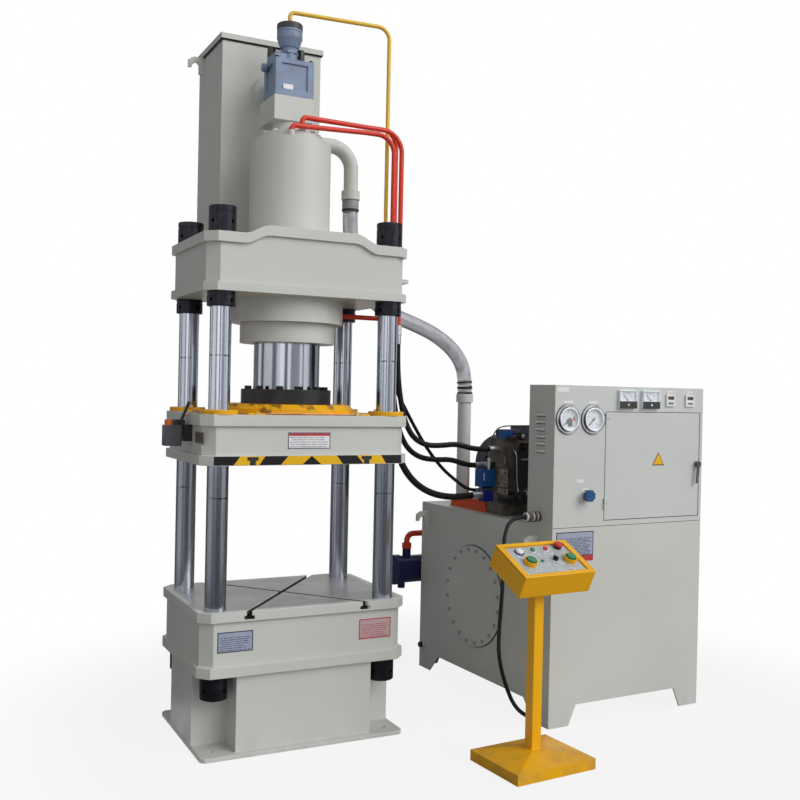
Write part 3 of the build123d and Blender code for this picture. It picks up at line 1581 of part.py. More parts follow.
def control_valves():
    """Solenoid valves on the valve block and the relief valve behind the panel."""
    pieces = (front_valve(), side_valve(), upper_valve(), pilot_coil_piece(), relief_valve())
    return group(on_unit(piece) for piece in pieces)


def stand_pipe():
    """Return pipe that stands on the oil tank and takes the clear hose."""
    r = return_pipe_r
    pipe = upright(stand_pipe_x, stand_pipe_y, oil_tank_top, stand_pipe_top, r)
    pipe += upright(stand_pipe_x, stand_pipe_y, stand_pipe_top - pipe_collar, stand_pipe_top,
                    pipe_collar_r)
    pipe += upright(stand_pipe_x, stand_pipe_y, oil_tank_top,
                    oil_tank_top + stand_pipe_flange, r + stand_pipe_flange_rim)
    pipe -= upright(stand_pipe_x, stand_pipe_y, oil_tank_top, stand_pipe_top,
                    r - return_pipe_wall)
    return on_unit(pipe)


def oil_cooler():
    """Shell cooler on two saddles behind the tank, with its end caps and neck."""
    x0 = cooler_left_x
    x1 = x0 + cooler_length
    cooler = along_x(cooler_y, cooler_z, x0 + cooler_cap / 2, x1 - cooler_cap / 2, cooler_r)
    cooler += along_x(cooler_y, cooler_z, x0, x0 + cooler_cap, cooler_cap_r)
    cooler += along_x(cooler_y, cooler_z, x1 - cooler_cap, x1, cooler_cap_r)
    cooler += upright(cooler_neck_x, cooler_y, cooler_z, cooler_z + cooler_r + cooler_neck,
                      cooler_neck_r)
    cooler += upright(x0 + cooler_drain_x, cooler_y, cooler_z - cooler_r - cooler_drain,
                      cooler_z, cooler_drain_r)
    for x in saddle_xs:
        cooler += block(x, x + saddle_width, oil_tank_depth, cooler_y,
                        cooler_z - cooler_r - saddle_drop, cooler_z - saddle_hold)
    return on_unit(cooler)


def cooler_pipe():
    """Red pipe with its union nut from the cooler's neck into the tank's back."""
    z0 = cooler_z + cooler_r + cooler_neck
    back = oil_tank_depth
    pipe = bent_pipe([(cooler_neck_x, cooler_y, z0), (cooler_neck_x, cooler_y, cooler_pipe_top),
                      (cooler_pipe_in_x, cooler_y, cooler_pipe_top),
                      (cooler_pipe_in_x, back, cooler_pipe_top)],
                     cooler_pipe_bend_r, cooler_pipe_r)
    return on_unit(pipe + upright(cooler_neck_x, cooler_y, z0, z0 + cooler_union,
                                  cooler_union_r))


# Pedestal

def pedestal_stand():
    """Weighted base with a low pyramid top and a square post up to the console."""
    w, d = pedestal_width / 2, pedestal_depth / 2
    stand = block(-w, w, -d, d, 0, pedestal_edge)
    half = post_side / 2
    top = pedestal_edge + pedestal_apex
    lower = Plane.XY.offset(pedestal_edge) * Rectangle(2 * w, 2 * d)
    flat = post_side + 2 * pedestal_flat
    upper = Plane.XY.offset(top) * Rectangle(flat, flat)
    stand += loft([lower, upper])
    post = block(-half, half, -half, half, top, console_z)
    inner = half - post_wall
    post -= block(-inner, inner, -inner, inner, top, console_z)
    above = block(-console_width, console_width, -console_width, console_width,
                  -console_height, console_width)
    post -= Pos(console_x, console_y, console_z) * Rot(console_tilt, 0, 0) * above
    return on_pedestal(stand + post)


def console_box():
    """Folded console box with a ledge that the face plate lies on."""
    w, d, s = console_width / 2, console_depth / 2, console_sheet
    box = block(-w, w, -d, d, -console_height, 0)
    box -= block(-w + s, w - s, -d + s, d - s, -console_height + s, -plate_thickness - s)
    px, py = plate_width / 2, plate_depth / 2
    box -= block(-px, px, -py, py, -plate_thickness, 0)
    box -= block(-px + plate_ledge, px - plate_ledge, -py + plate_ledge, py - plate_ledge,
                 -plate_thickness - s, 0)
    return on_console(box)


def console_plate():
    """Face plate with the button rings, the palm guards and the two lamps."""
    px, py = plate_width / 2, plate_depth / 2
    face = block(-px, px, -py, py, -plate_thickness, 0)
    for name, hole_r in (("start", button_r), ("stop", button_r), ("selector", stop_stem_r)):
        x, y = button_places[name]
        face += upright(x, y, 0, button_ring, button_ring_r)
        face -= upright(x, y, -plate_thickness, button_ring, hole_r + run_gap)
    for name in ("palm_left", "palm_right"):
        x, y = button_places[name]
        face += upright(x, y, 0, guard_height, guard_r) - upright(
            x, y, 0, guard_height, guard_r - guard_wall)
        face -= upright(x, y, -plate_thickness, 0, stop_stem_r + run_gap)
    x, y = button_places["emergency"]
    face += upright(x, y, 0, stop_pad, stop_head_r - 2)
    face -= upright(x, y, -plate_thickness, stop_pad, stop_stem_r + run_gap)
    for name, r, rise in (("lamp", lamp_r, lamp_rise), ("small_lamp", small_lamp_r, small_lamp_rise)):
        x, y = button_places[name]
        face += upright(x, y, 0, rise - lamp_bevel, r)
        face += cone(x, y, rise - lamp_bevel, rise, r, r - lamp_bevel)
    return on_console(face)


def push_button(place):
    """Flush push button that slides in its ring."""
    x, y = button_places[place]
    cap = upright(x, y, -button_depth, button_rise, button_r)
    cap = chamfer(cap.edges().group_by(Axis.Z)[-1], button_edge)
    return on_console(cap)


def mushroom_button(place, head_r, lift, head):
    """Mushroom-headed button on a stem."""
    x, y = button_places[place]
    button = upright(x, y, -stop_depth, lift, stop_stem_r)
    cap = upright(x, y, lift, lift + head, head_r)
    cap = fillet(cap.edges().group_by(Axis.Z)[-1], head * 0.45)
    return on_console(button + cap)


def mode_selector():
    """Turning selector with a raised grip."""
    x, y = button_places["selector"]
    low, disc = button_ring + free_gap, button_ring + 6
    turn = upright(x, y, -button_depth, low, stop_stem_r)
    turn += upright(x, y, low, disc, button_ring_r - 1)
    turn += block(x - grip_width / 2, x + grip_width / 2, y - grip_length / 2,
                  y + grip_length / 2, disc, disc + grip_height)
    return on_console(turn)


# Hoses and cable, each along its own route

def hose_routes():
    """Points of every hose and cable, from its first end to its last, with its diameter."""

    def port(place, out):
        return unit_point(manifold_x[0] - fitting_length - out, *unit_port(place))

    end_z = pipe_drop_z - hose_ferrule
    stand = (stand_pipe_x, stand_pipe_y)
    turn = radians(pedestal_turn)
    away = (-sin(turn), cos(turn))
    post_x = pedestal_x + post_side / 2 * away[0]
    post_y = pedestal_y + post_side / 2 * away[1]
    return {
        "pressure_hose_a": ([
            (outer_pipe_x, pressure_pipe_y, end_z), (outer_pipe_x, pressure_pipe_y, 1795),
            (574, -59, 1680), (592, -58, 1566), (620, -56, 1462), (670, -53, 1384),
            (748, -47, 1346), (842, -37, 1344), (944, -18, 1352),
            port(hose_a_port, 88), port(hose_a_port, 0)], hose_a_d),
        "pressure_hose_b": ([
            (ring_pipe_x, ring_pipe_y, end_z), (ring_pipe_x, ring_pipe_y, 1786),
            (592, 40, 1650), (610, 41, 1520), (640, 43, 1406), (690, 45, 1322),
            (766, 48, 1276), (858, 50, 1264), (956, 47, 1266),
            port(hose_b_port, 86), port(hose_b_port, 0)], hose_b_d),
        "pilot_hose": ([
            (yellow_pipe_x, 0, end_z), (yellow_pipe_x, 0, 1822), (536, -2, 1728),
            (582, -2, 1640), (636, 6, 1556), (704, 32, 1464), (786, 70, 1366),
            (866, 96, 1278), (942, 104, 1202), (1012, 80, 1142),
            port(hose_c_port, 70), port(hose_c_port, 0)], hose_c_d),
        "main_hose": ([
            (inner_pipe_x, pressure_pipe_y, end_z), (inner_pipe_x, pressure_pipe_y, 1770),
            (532, -62, 1626), (544, -64, 1484), (564, -64, 1350), (608, -62, 1238),
            (684, -57, 1152), (784, -50, 1098), (896, -44, 1076), (1000, -33, 1078),
            port(hose_d_port, 56), port(hose_d_port, 0)], hose_d_d),
        "clear_return_hose": ([
            (return_pipe_x, return_pipe_y, return_pipe_end), (return_pipe_x, return_pipe_y, 2470),
            (543, 452, 2290), (632, 461, 2140), (786, 479, 2050), (960, 500, 2002),
            (1110, 517, 1946), (1240, 528, 1858),
            unit_point(*stand, stand_pipe_top + 126), unit_point(*stand, stand_pipe_top)],
            clear_hose_d),
        "control_cable": ([
            unit_point(-connector_length, connector_y, connector_z),
            unit_point(-connector_length - 55, connector_y, connector_z),
            (966, -495, 994), (927, -524, 946), (899, -560, 876), (872, -603, 796),
            (840, -648, 706), (804, -692, 614), (772, -732, 522), (758, -756, 448),
            (764, -772, 380), (776, -781, 330), (793, -785, 284), (812, -797, 234),
            (post_x + 62 * away[0], post_y + 62 * away[1], cable_entry_z),
            (post_x, post_y, cable_entry_z)],
            control_cable_d),
    }


nodes = {
    "base_frame": base_frame(),
    "bolster_table": bolster_table(),
    "guide_columns": guide_columns(),
    "column_nuts": column_nuts(),
    "crown_beam": crown_beam(),
    "cylinder_barrel": cylinder_barrel(),
    "cylinder_head": cylinder_head(),
    "gland_ring": gland_ring(),
    "main_ram": main_ram(),
    "ram_flange": ram_flange(),
    "ram_flange_screws": ram_flange_screws(),
    "slide_beam": slide_beam(),
    "slide_covers": slide_covers(),
    "guide_bushes": guide_bushes(),
    "valve_adapter": valve_adapter(),
    "filling_valve": filling_valve(),
    "valve_bowl": valve_bowl(),
    "filling_tank": filling_tank(),
    "filling_tank_lid": filling_tank_lid(),
    "red_pipes": red_pipes(),
    "yellow_pipe": yellow_pipe(),
    "grease_pump": group([grease_pump(), grease_reservoir()]),
    "grease_lever": grease_lever(),
    "oil_tank": oil_tank(),
    "manhole_lid": manhole_lid(),
    "manhole_bolts": manhole_bolts(),
    "cabinet_shell": cabinet_shell(),
    "cabinet_door": cabinet_door(),
    "door_handle": door_handle(),
    "switchgear": switchgear(),
    "pressure_gauges": pressure_gauges(),
    "gauge_needle_left": gauge_needle_at(gauge_xs[0]),
    "gauge_needle_right": gauge_needle_at(gauge_xs[1]),
    "panel_instruments": panel_instruments(),
    "meter_needle_left": meter_needle_at(meter_xs[0]),
    "meter_needle_right": meter_needle_at(meter_xs[1]),
    "relief_knob": relief_knob_piece(),
    "motor_body": motor_body_piece(),
    "motor_rotor": motor_rotor(),
    "hydraulic_pump": pump(),
    "unit_base": unit_base(),
    "valve_manifold": valve_manifold(),
    "control_valves": control_valves(),
    "stand_pipe": stand_pipe(),
    "oil_cooler": group([oil_cooler(), cooler_pipe()]),
    "pedestal_stand": pedestal_stand(),
    "console_box": console_box(),
    "console_plate": console_plate(),
    "start_button": push_button("start"),
    "stop_button": push_button("stop"),
    "emergency_button": mushroom_button("emergency", stop_head_r, stop_lift, stop_head),
    "palm_button_left": mushroom_button("palm_left", palm_r, palm_lift, stop_head),
    "palm_button_right": mushroom_button("palm_right", palm_r, palm_lift, stop_head),
    "mode_selector": mode_selector(),
}
for name, (points, diameter) in hose_routes().items():
    nodes[name] = hose(name, points, diameter)

os.makedirs("parts", exist_ok=True)
for name, shape in nodes.items():
    export_step(shape, "parts/" + name + ".step")
print(len(nodes), "nodes written")
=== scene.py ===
"""Looks of a four-column hydraulic press with its power unit and its control pedestal.

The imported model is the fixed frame. Lengths in the pieces below are millimetres of the
press, of the power unit, of the pedestal or of the sloping console, as each piece says.
"""
import json
from math import cos, pi, radians, sin, tau

import bmesh
import bpy
from mathutils import Matrix, Vector

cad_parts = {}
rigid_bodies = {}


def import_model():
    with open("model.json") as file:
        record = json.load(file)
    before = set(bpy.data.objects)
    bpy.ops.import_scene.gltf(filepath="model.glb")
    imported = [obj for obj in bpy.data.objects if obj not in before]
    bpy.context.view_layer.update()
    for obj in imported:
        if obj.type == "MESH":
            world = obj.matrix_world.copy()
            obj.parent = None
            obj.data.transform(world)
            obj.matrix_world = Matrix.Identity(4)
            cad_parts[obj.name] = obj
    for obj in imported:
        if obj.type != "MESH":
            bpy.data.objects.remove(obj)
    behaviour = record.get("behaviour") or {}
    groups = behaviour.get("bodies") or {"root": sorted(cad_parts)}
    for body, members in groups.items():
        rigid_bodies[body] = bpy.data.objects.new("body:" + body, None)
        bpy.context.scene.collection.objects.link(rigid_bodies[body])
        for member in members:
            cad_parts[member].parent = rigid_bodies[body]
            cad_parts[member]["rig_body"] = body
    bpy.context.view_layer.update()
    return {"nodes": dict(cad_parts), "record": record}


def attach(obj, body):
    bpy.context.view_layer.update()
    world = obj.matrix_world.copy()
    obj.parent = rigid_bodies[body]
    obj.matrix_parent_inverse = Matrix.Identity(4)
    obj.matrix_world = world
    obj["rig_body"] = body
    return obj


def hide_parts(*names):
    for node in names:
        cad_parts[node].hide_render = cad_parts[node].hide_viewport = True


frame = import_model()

bl_info = {
    "name": "Four-column hydraulic press",
    "version": (1, 0, 0),
    "blender": (4, 5, 0),
    "location": "3D View > Sidebar > Press",
    "description": "Dresses the packed press with paint, steel, hoses, dials and small fittings",
    "category": "Object",
}

NODES = frame["nodes"]
SLOTS = [entry["slot"] for entry in frame["record"]["materials"]]
BODY_OF = {name: piece["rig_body"] for name, piece in NODES.items()}

MM = 0.001
MERGE, SHARP = 0.00001, radians(34)
PRESS = Matrix.Identity(4)
UNIT = Matrix.Translation((1.160, -0.585, 0)) @ Matrix.Rotation(radians(2.0), 4, "Z")
PEDESTAL = Matrix.Translation((0.831, -0.932, 0)) @ Matrix.Rotation(radians(4.0), 4, "Z")
CONSOLE = (PEDESTAL @ Matrix.Translation((0.030, -0.024, 0.900))
           @ Matrix.Rotation(radians(26.7), 4, "X"))

# Faces, heights and centres that the finer pieces line up with, in millimetres
TABLE_FRONT, SLIDE_FRONT, SLIDE_LEFT = -340.0, -331.0, -488.0
BAND_FRONT, BAND_LOW, BAND_TOP = -346.0, 1281.5, 1320.5
HEAD_TOP, VALVE_TOP, CAP_BOTTOM = 2829, 3193, 3354
VALVE_Y = 47
FERRULE_TOP = 1951
CUP_TOP, CUP_RIGHT, CUP_CAP = 1449, -534, (-591, -100)
BLOCK_FACE, COIL_FACE, COIL_START, RELIEF_END = 59, 61, 580, 120
COOLER_TOP, COOLER_PIPES = 683, 1251
LOUVRE_TOP, LOUVRE_STEP = 1522, 35.6
GAUGE_Z, GAUGES = 1501, {"left": 79, "right": 233}
METER_Z, METERS, TIMERS = 1600, {"left": 447.0, "right": 601.2}, (740.8, 876.0)
TIMERS_START = 690
CONNECTOR, KNOB, MANHOLE, LAMP = (0, 103, 1020), (196, 0, 1128), (0, 677, 521), (-103, 62)

# Camera: bearing, tilt and roll in degrees, place in metres, focal length in pixels.
# The cards stand in a circle of that radius in metres, turned by that bearing.
BEARING, TILT, ROLL = 26.816, -0.42, 1.207
CAMERA_PLACE = (-1.6728, -4.5291, 1.6130)
FOCAL, IMAGE_WIDTH, SENSOR = 995.24, 800, 36
CARD_RADIUS, CARD_BEARING = 4.2, 20.3

# Hose thickness in millimetres that nothing reads; steps in a turn of the spiral
LIMP_BELOW, SPIRAL_STEPS = 20, 20


# Properties a user may change

def linear(red, green, blue):
    """Scene colour of three screen values from 0 to 255."""
    def one(value):
        value /= 255
        return value / 12.92 if value <= 0.04045 else ((value + 0.055) / 1.055) ** 2.4
    return one(red), one(green), one(blue), 1.0


def colour_setting(name, description, screen):
    return bpy.props.FloatVectorProperty(
        name=name, description=description, subtype="COLOR", size=4, min=0, max=1,
        default=linear(*screen))


def length_setting(name, description, default):
    return bpy.props.FloatProperty(
        name=name, description=description, default=default, min=0,
        subtype="DISTANCE", unit="LENGTH")


class PressColours(bpy.types.PropertyGroup):
    """Colours of the machine's finishes."""
    cream: colour_setting("Machine paint", "Paint of the press and its tanks", (206, 208, 203))
    cabinet: colour_setting("Cabinet paint", "Paint of the control cabinet", (207, 210, 207))
    yellow: colour_setting("Safety yellow", "Slide covers and pedestal", (245, 180, 8))
    pilot_pipe: colour_setting("Pilot pipe", "Thin pipe to the filling valve", (244, 196, 70))
    red_pipe: colour_setting("Pressure pipes", "Thick pipes down the side", (222, 60, 40))
    valve: colour_setting("Valve casting", "Casting of the filling valve", (122, 140, 168))
    motor: colour_setting("Motor", "Motor frame", (38, 44, 62))
    orange: colour_setting("Unit base", "Frame under the motor", (226, 84, 22))
    blue: colour_setting("Valve blue", "Coils and knobs", (24, 84, 150))
    navy: colour_setting("Cooler", "Oil cooler's shell", (26, 30, 84))


class PressSizes(bpy.types.PropertyGroup):
    """Sizes of the finer shapes that go over the solids."""
    plate_edge: length_setting("Plate edge", "Rounding of edges on plates and beams", 0.0025)
    label_rise: length_setting("Label thickness", "How far a label stands out", 0.0009)
    spiral_pitch: length_setting("Spiral pitch", "Step of the clear hose's spiral", 0.0125)
    spiral_wire: length_setting("Spiral wire", "Radius of the spiral's wire", 0.0026)
    lube_pipe: length_setting("Lube pipe", "Radius of the copper lube pipes", 0.0028)


def colours():
    return bpy.context.scene.press_colours


def sizes():
    return bpy.context.scene.press_sizes


# Shader maths

class Wire:
    """A shader value that adds Math nodes as it is used in an expression."""

    def __init__(self, finish, socket):
        self.finish, self.socket = finish, socket

    def maths(self, operation, first, second):
        return self.finish.node("ShaderNodeMath", {"operation": operation},
                                {0: first, 1: second})

    def __add__(self, other):
        return self.maths("ADD", self, other)

    __radd__ = __add__

    def __sub__(self, other):
        return self.maths("SUBTRACT", self, other)

    def __rsub__(self, other):
        return self.maths("SUBTRACT", other, self)

    def __mul__(self, other):
        return self.maths("MULTIPLY", self, other)

    __rmul__ = __mul__

    def __abs__(self):
        return self.maths("ABSOLUTE", self, 0.0)


class Nodes:
    """Node tree of a material or a world, built up from Python."""

    def __init__(self, owner):
        owner.use_nodes = True
        self.made, self.tree = owner, owner.node_tree

    def node(self, kind, settings=None, inputs=None, output=0):
        """One node: its settings first, then the values or links of its sockets."""
        made = self.tree.nodes.new(kind)
        for key, value in (settings or {}).items():
            setattr(made, key, value)
        for key, value in (inputs or {}).items():
            self.put(made.inputs[key], value)
        return Wire(self, made.outputs[output])

    def put(self, socket, value):
        if isinstance(value, Wire):
            self.tree.links.new(value.socket, socket)
        else:
            socket.default_value = value

    def greater(self, first, second):
        return self.node("ShaderNodeMath", {"operation": "MAXIMUM"}, {0: first, 1: second})

    def seen(self):
        """1 where the camera looks, straight or by way of metal and glass."""
        camera, glossy, through = (
            self.node("ShaderNodeLightPath", output=f"Is {kind} Ray")
            for kind in ("Camera", "Glossy", "Transmission"))
        return self.greater(camera, self.greater(glossy, through))


class Finish(Nodes):
    """Principled material, with the piece's own coordinates at hand."""

    def __init__(self, name, **constants):
        super().__init__(bpy.data.materials.new(name))
        self.shader = self.tree.nodes["Principled BSDF"]
        for label, value in constants.items():
            self.shader.inputs[label.replace("_", " ")].default_value = value
        self.place = self.node("ShaderNodeTexCoord", output="Object")
        spread = self.node("ShaderNodeSeparateXYZ", inputs={0: self.place})
        self.x, self.y, self.z = (Wire(self, spread.socket.node.outputs[i]) for i in range(3))

    def feed(self, label, value):
        self.put(self.shader.inputs[label], value)

    def noise(self, scale, detail, stretch=(1, 1, 1)):
        place = self.node("ShaderNodeVectorMath", {"operation": "MULTIPLY"},
                          {0: self.place, 1: [scale * s for s in stretch]})
        return self.node("ShaderNodeTexNoise", {},
                         {"Vector": place, "Scale": 1.0, "Detail": detail})

    def between(self, value, low, high):
        """0 below low, 1 above high and smooth between; low may be the greater."""
        return self.node("ShaderNodeMapRange", {"interpolation_type": "SMOOTHSTEP"},
                         {0: value, 1: low, 2: high})

    def blend(self, mask, first, second):
        return self.node("ShaderNodeMix", {"data_type": "RGBA"},
                         {0: mask, 6: first, 7: second}, 2)

    def bump(self, height, strength, distance):
        return self.node("ShaderNodeBump", {}, {"Strength": strength, "Distance": distance,
                                                "Height": height})

    def finished(self, colour, roughness, normal):
        """Feeds what every finish varies and gives the material back."""
        self.feed("Base Color", colour)
        self.feed("Roughness", roughness)
        self.feed("Normal", normal)
        return self.made

    def facing_up(self):
        """1 on a level top, -1 on a level underside."""
        normal = self.node("ShaderNodeNewGeometry", output="Normal")
        return self.node("ShaderNodeSeparateXYZ", inputs={0: normal}, output=2)

    def clouded(self, scale, detail, low, high, first, second):
        """Two colours that drift into each other in clouds of that scale."""
        clouds = self.noise(scale, detail)
        return clouds, self.blend(self.between(clouds, low, high), first, second)


def tint(shade, factor):
    return tuple(min(1.0, c * factor) for c in shade[:3]) + (1.0,)


def paint(shade):
    """Scene colour of a colour setting's name, or of three screen values."""
    return getattr(colours(), shade) if isinstance(shade, str) else linear(*shade)


def sprayed(name, shade, roughness, grime, peel=0.12):
    """Sprayed enamel with faint clouds, orange peel, stray specks and dirt near the floor."""
    f = Finish(name, Coat_Weight=0.1, Coat_Roughness=0.2, IOR=1.48, Specular_IOR_Level=0.3)
    shade = paint(shade)
    clouds, tone = f.clouded(1.9, 3, 0.3, 0.72, tint(shade, 0.955), tint(shade, 1.015))
    specks = f.noise(85, 5)
    tone = f.blend(f.between(specks, 0.70, 0.76) * 0.35, tone, tint(shade, 0.62))
    low = f.between(f.z, 0.16, 0.0) * f.between(f.noise(9, 4), 0.38, 0.68)
    tone = f.blend(low * grime, tone, (0.16, 0.14, 0.11, 1))
    waves = f.noise(260, 2) + f.noise(34, 2) * 1.6
    return f.finished(tone, roughness + (clouds - 0.5) * 0.14 + low * 0.2,
                      f.bump(waves, peel, 0.0006))


def table_finish(name, shade, face, side):
    """Painted beam, ground bare at height face, with the slots cut into that face darkened
    inside as painted shade.

    side is 1 where the face looks up and -1 where it looks down.
    """
    f = Finish(name, Coat_Weight=0.08, Coat_Roughness=0.2, Specular_IOR_Level=0.3)
    shade = paint(shade)
    _, tone = f.clouded(1.9, 3, 0.3, 0.72, tint(shade, 0.955), tint(shade, 1.015))
    flat = f.between(f.facing_up() * side, 0.86, 0.97)
    level = f.between(abs(f.z - face), 0.0012, 0.0006)
    rim = f.noise(16, 3) * 0.02  # the ground area ends in a ragged line
    inside = f.between(abs(f.x) + rim, 0.492, 0.474) * f.between(abs(f.y) + rim, 0.345, 0.325)
    deep = (face - f.z) * side
    # Mask of the slot walls and floors below the face, where the painted shade goes
    slot = (f.between(deep, 0.0012, 0.004) * f.between(deep, 0.0395, 0.0385)
            * f.between(abs(f.x), 0.4885, 0.4865) * f.between(abs(f.y), 0.3445, 0.3425)
            * f.between(abs(f.x) + abs(f.y), 0.792, 0.786))
    mask = flat * level * inside
    streaks = f.noise(1, 4, (5, 420, 5))
    _, steel = f.clouded(4.2, 4, 0.32, 0.7, (0.37, 0.365, 0.36, 1), (0.50, 0.495, 0.48, 1))
    steel = f.blend(f.between(f.noise(11, 5), 0.60, 0.74) * 0.35, steel, (0.22, 0.18, 0.14, 1))
    # Slots nearly black inside: painted shade in the recesses
    tone = f.blend(slot, tone, (0.060, 0.050, 0.045, 1))
    f.feed("Metallic", mask)
    return f.finished(f.blend(mask, tone, steel),
                      0.42 * (1 - mask) + mask * (0.30 + streaks * 0.22),
                      f.bump(streaks * mask + f.noise(260, 2) * 0.5, 0.12, 0.0004))


def ground_column(name, dark, light, roughness, stains=()):
    """Ground round bar: faint rings from the wheel, slow tone changes, rust by its grooves."""
    f = Finish(name, Metallic=1.0)
    rings = f.noise(1, 2, (1, 1, 900))
    slow = f.noise(1, 3, (9, 9, 0.9))
    tone = f.blend(f.between(slow, 0.36, 0.66), dark, light)
    for height in stains:
        ragged = abs(f.z - height) + f.noise(42, 4) * 0.022
        tone = f.blend(f.between(ragged, 0.0155, 0.009) * 0.8, tone, (0.07, 0.05, 0.04, 1))
    return f.finished(tone, roughness + rings * 0.03 + slow * 0.03, f.bump(rings, 0.02, 0.0001))


def blackened(name, shade, roughness, metal=0.85):
    """Oil-blackened or gloss-black steel with rubbed, paler edges of wear."""
    f = Finish(name, Metallic=metal)
    wear, fine = f.noise(24, 5), f.noise(210, 3)
    tone = f.blend(f.between(wear, 0.50, 0.78), shade, tint(shade, 1.9))
    tone = f.blend(f.between(fine, 0.68, 0.78) * 0.4, tone, tint(shade, 4.5))
    return f.finished(tone, roughness + (wear - 0.5) * 0.2, f.bump(fine, 0.12, 0.0004))


def cast(name, shade, roughness=0.5):
    """Painted casting with a sandy skin and darker hollows of dirt."""
    f = Finish(name, Coat_Weight=0.08)
    shade, skin = paint(shade), f.noise(300, 4)
    clouds, tone = f.clouded(13, 4, 0.35, 0.7, tint(shade, 0.84), tint(shade, 1.1))
    return f.finished(tone, roughness + (clouds - 0.5) * 0.25,
                      f.bump(skin + clouds * 0.6, 0.3, 0.0009))


def turned(name, dark, light, roughness=0.3):
    """Turned or milled bare metal."""
    f = Finish(name, Metallic=1.0)
    marks, clouds = f.noise(420, 3), f.noise(22, 4)
    return f.finished(f.blend(f.between(clouds + marks * 0.4, 0.45, 0.9), dark, light),
                      roughness + marks * 0.16, f.bump(marks, 0.1, 0.0003))


def moulded(name, shade, roughness, rough_skin=0.1, clear=0.0, shine=0.5):
    """Moulded plastic or rubber with a fine skin."""
    f = Finish(name, Transmission_Weight=clear, IOR=1.46, Specular_IOR_Level=shine)
    shade, skin = paint(shade), f.noise(520, 2)
    clouds, tone = f.clouded(31, 3, 0.35, 0.7, tint(shade, 0.9), tint(shade, 1.07))
    return f.finished(tone, roughness + (clouds - 0.5) * 0.14, f.bump(skin, rough_skin, 0.0003))


def printed(name, shade, roughness=0.45):
    """Printed film or enamel plate, a little faded in patches."""
    f = Finish(name, Coat_Weight=0.3, Coat_Roughness=0.1)
    shade, fine = paint(shade), f.noise(150, 2)
    _, tone = f.clouded(17, 3, 0.3, 0.72, tint(shade, 0.93), tint(shade, 1.04))
    return f.finished(tone, roughness + (fine - 0.5) * 0.1, f.bump(fine, 0.04, 0.0003))


def bare_glass(name):
    """Thin clear pane."""
    f = Finish(name, IOR=1.45, Alpha=0.12)
    smears = f.noise(40, 3)
    f.feed("Base Color", f.blend(smears, (0.9, 0.92, 0.94, 1), (1, 1, 1, 1)))
    f.feed("Roughness", 0.02 + smears * 0.05)
    return f.made


def clear_wall(name):
    """Clear hose wall, a little milky, that lets what is behind it through."""
    f = Finish(name, IOR=1.4, Coat_Weight=0.5, Coat_Roughness=0.08)
    clouds = f.noise(26, 3)
    f.feed("Alpha", 0.30 + clouds * 0.14)
    return f.finished(f.blend(clouds, (0.60, 0.62, 0.70, 1), (0.78, 0.80, 0.87, 1)),
                      0.16 + clouds * 0.14, f.bump(f.noise(90, 2), 0.12, 0.001))


def oily(name, shade):
    """Painted sheet with brown grease that has run along it."""
    f = Finish(name, Coat_Weight=0.1, Coat_Roughness=0.2, Specular_IOR_Level=0.3)
    shade, spots = paint(shade), f.noise(21, 5)
    clouds, tone = f.clouded(3, 3, 0.3, 0.72, tint(shade, 0.9), shade)
    grease = f.between(spots + clouds * 0.35, 0.70, 0.84)
    return f.finished(f.blend(grease * 0.8, tone, (0.17, 0.085, 0.018, 1)), 0.40 - grease * 0.16,
                      f.bump(spots, 0.1, 0.0008))


def phosphated(name, dark, light):
    """Phosphated steel block: brownish grey with a soft patchy film."""
    f = Finish(name, Metallic=0.25)
    film, marks = f.noise(19, 5), f.noise(1, 3, (420, 420, 30))
    return f.finished(f.blend(f.between(film, 0.34, 0.68), dark, light), 0.40 + film * 0.2,
                      f.bump(marks + film, 0.1, 0.0004))


def reflected_card(name, level):
    """Plain card that only reflections show."""
    f = Finish(name, Roughness=1.0, Specular_IOR_Level=0.0, Emission_Strength=1.0)
    f.feed("Base Color", (0, 0, 0, 1))
    low, high = ((level * c, level * c, level * c * 1.05, 1.0) for c in (0.85, 1.1))
    _, glow = f.clouded(0.6, 2, 0.3, 0.7, low, high)
    f.feed("Emission Color", glow)
    return f.made


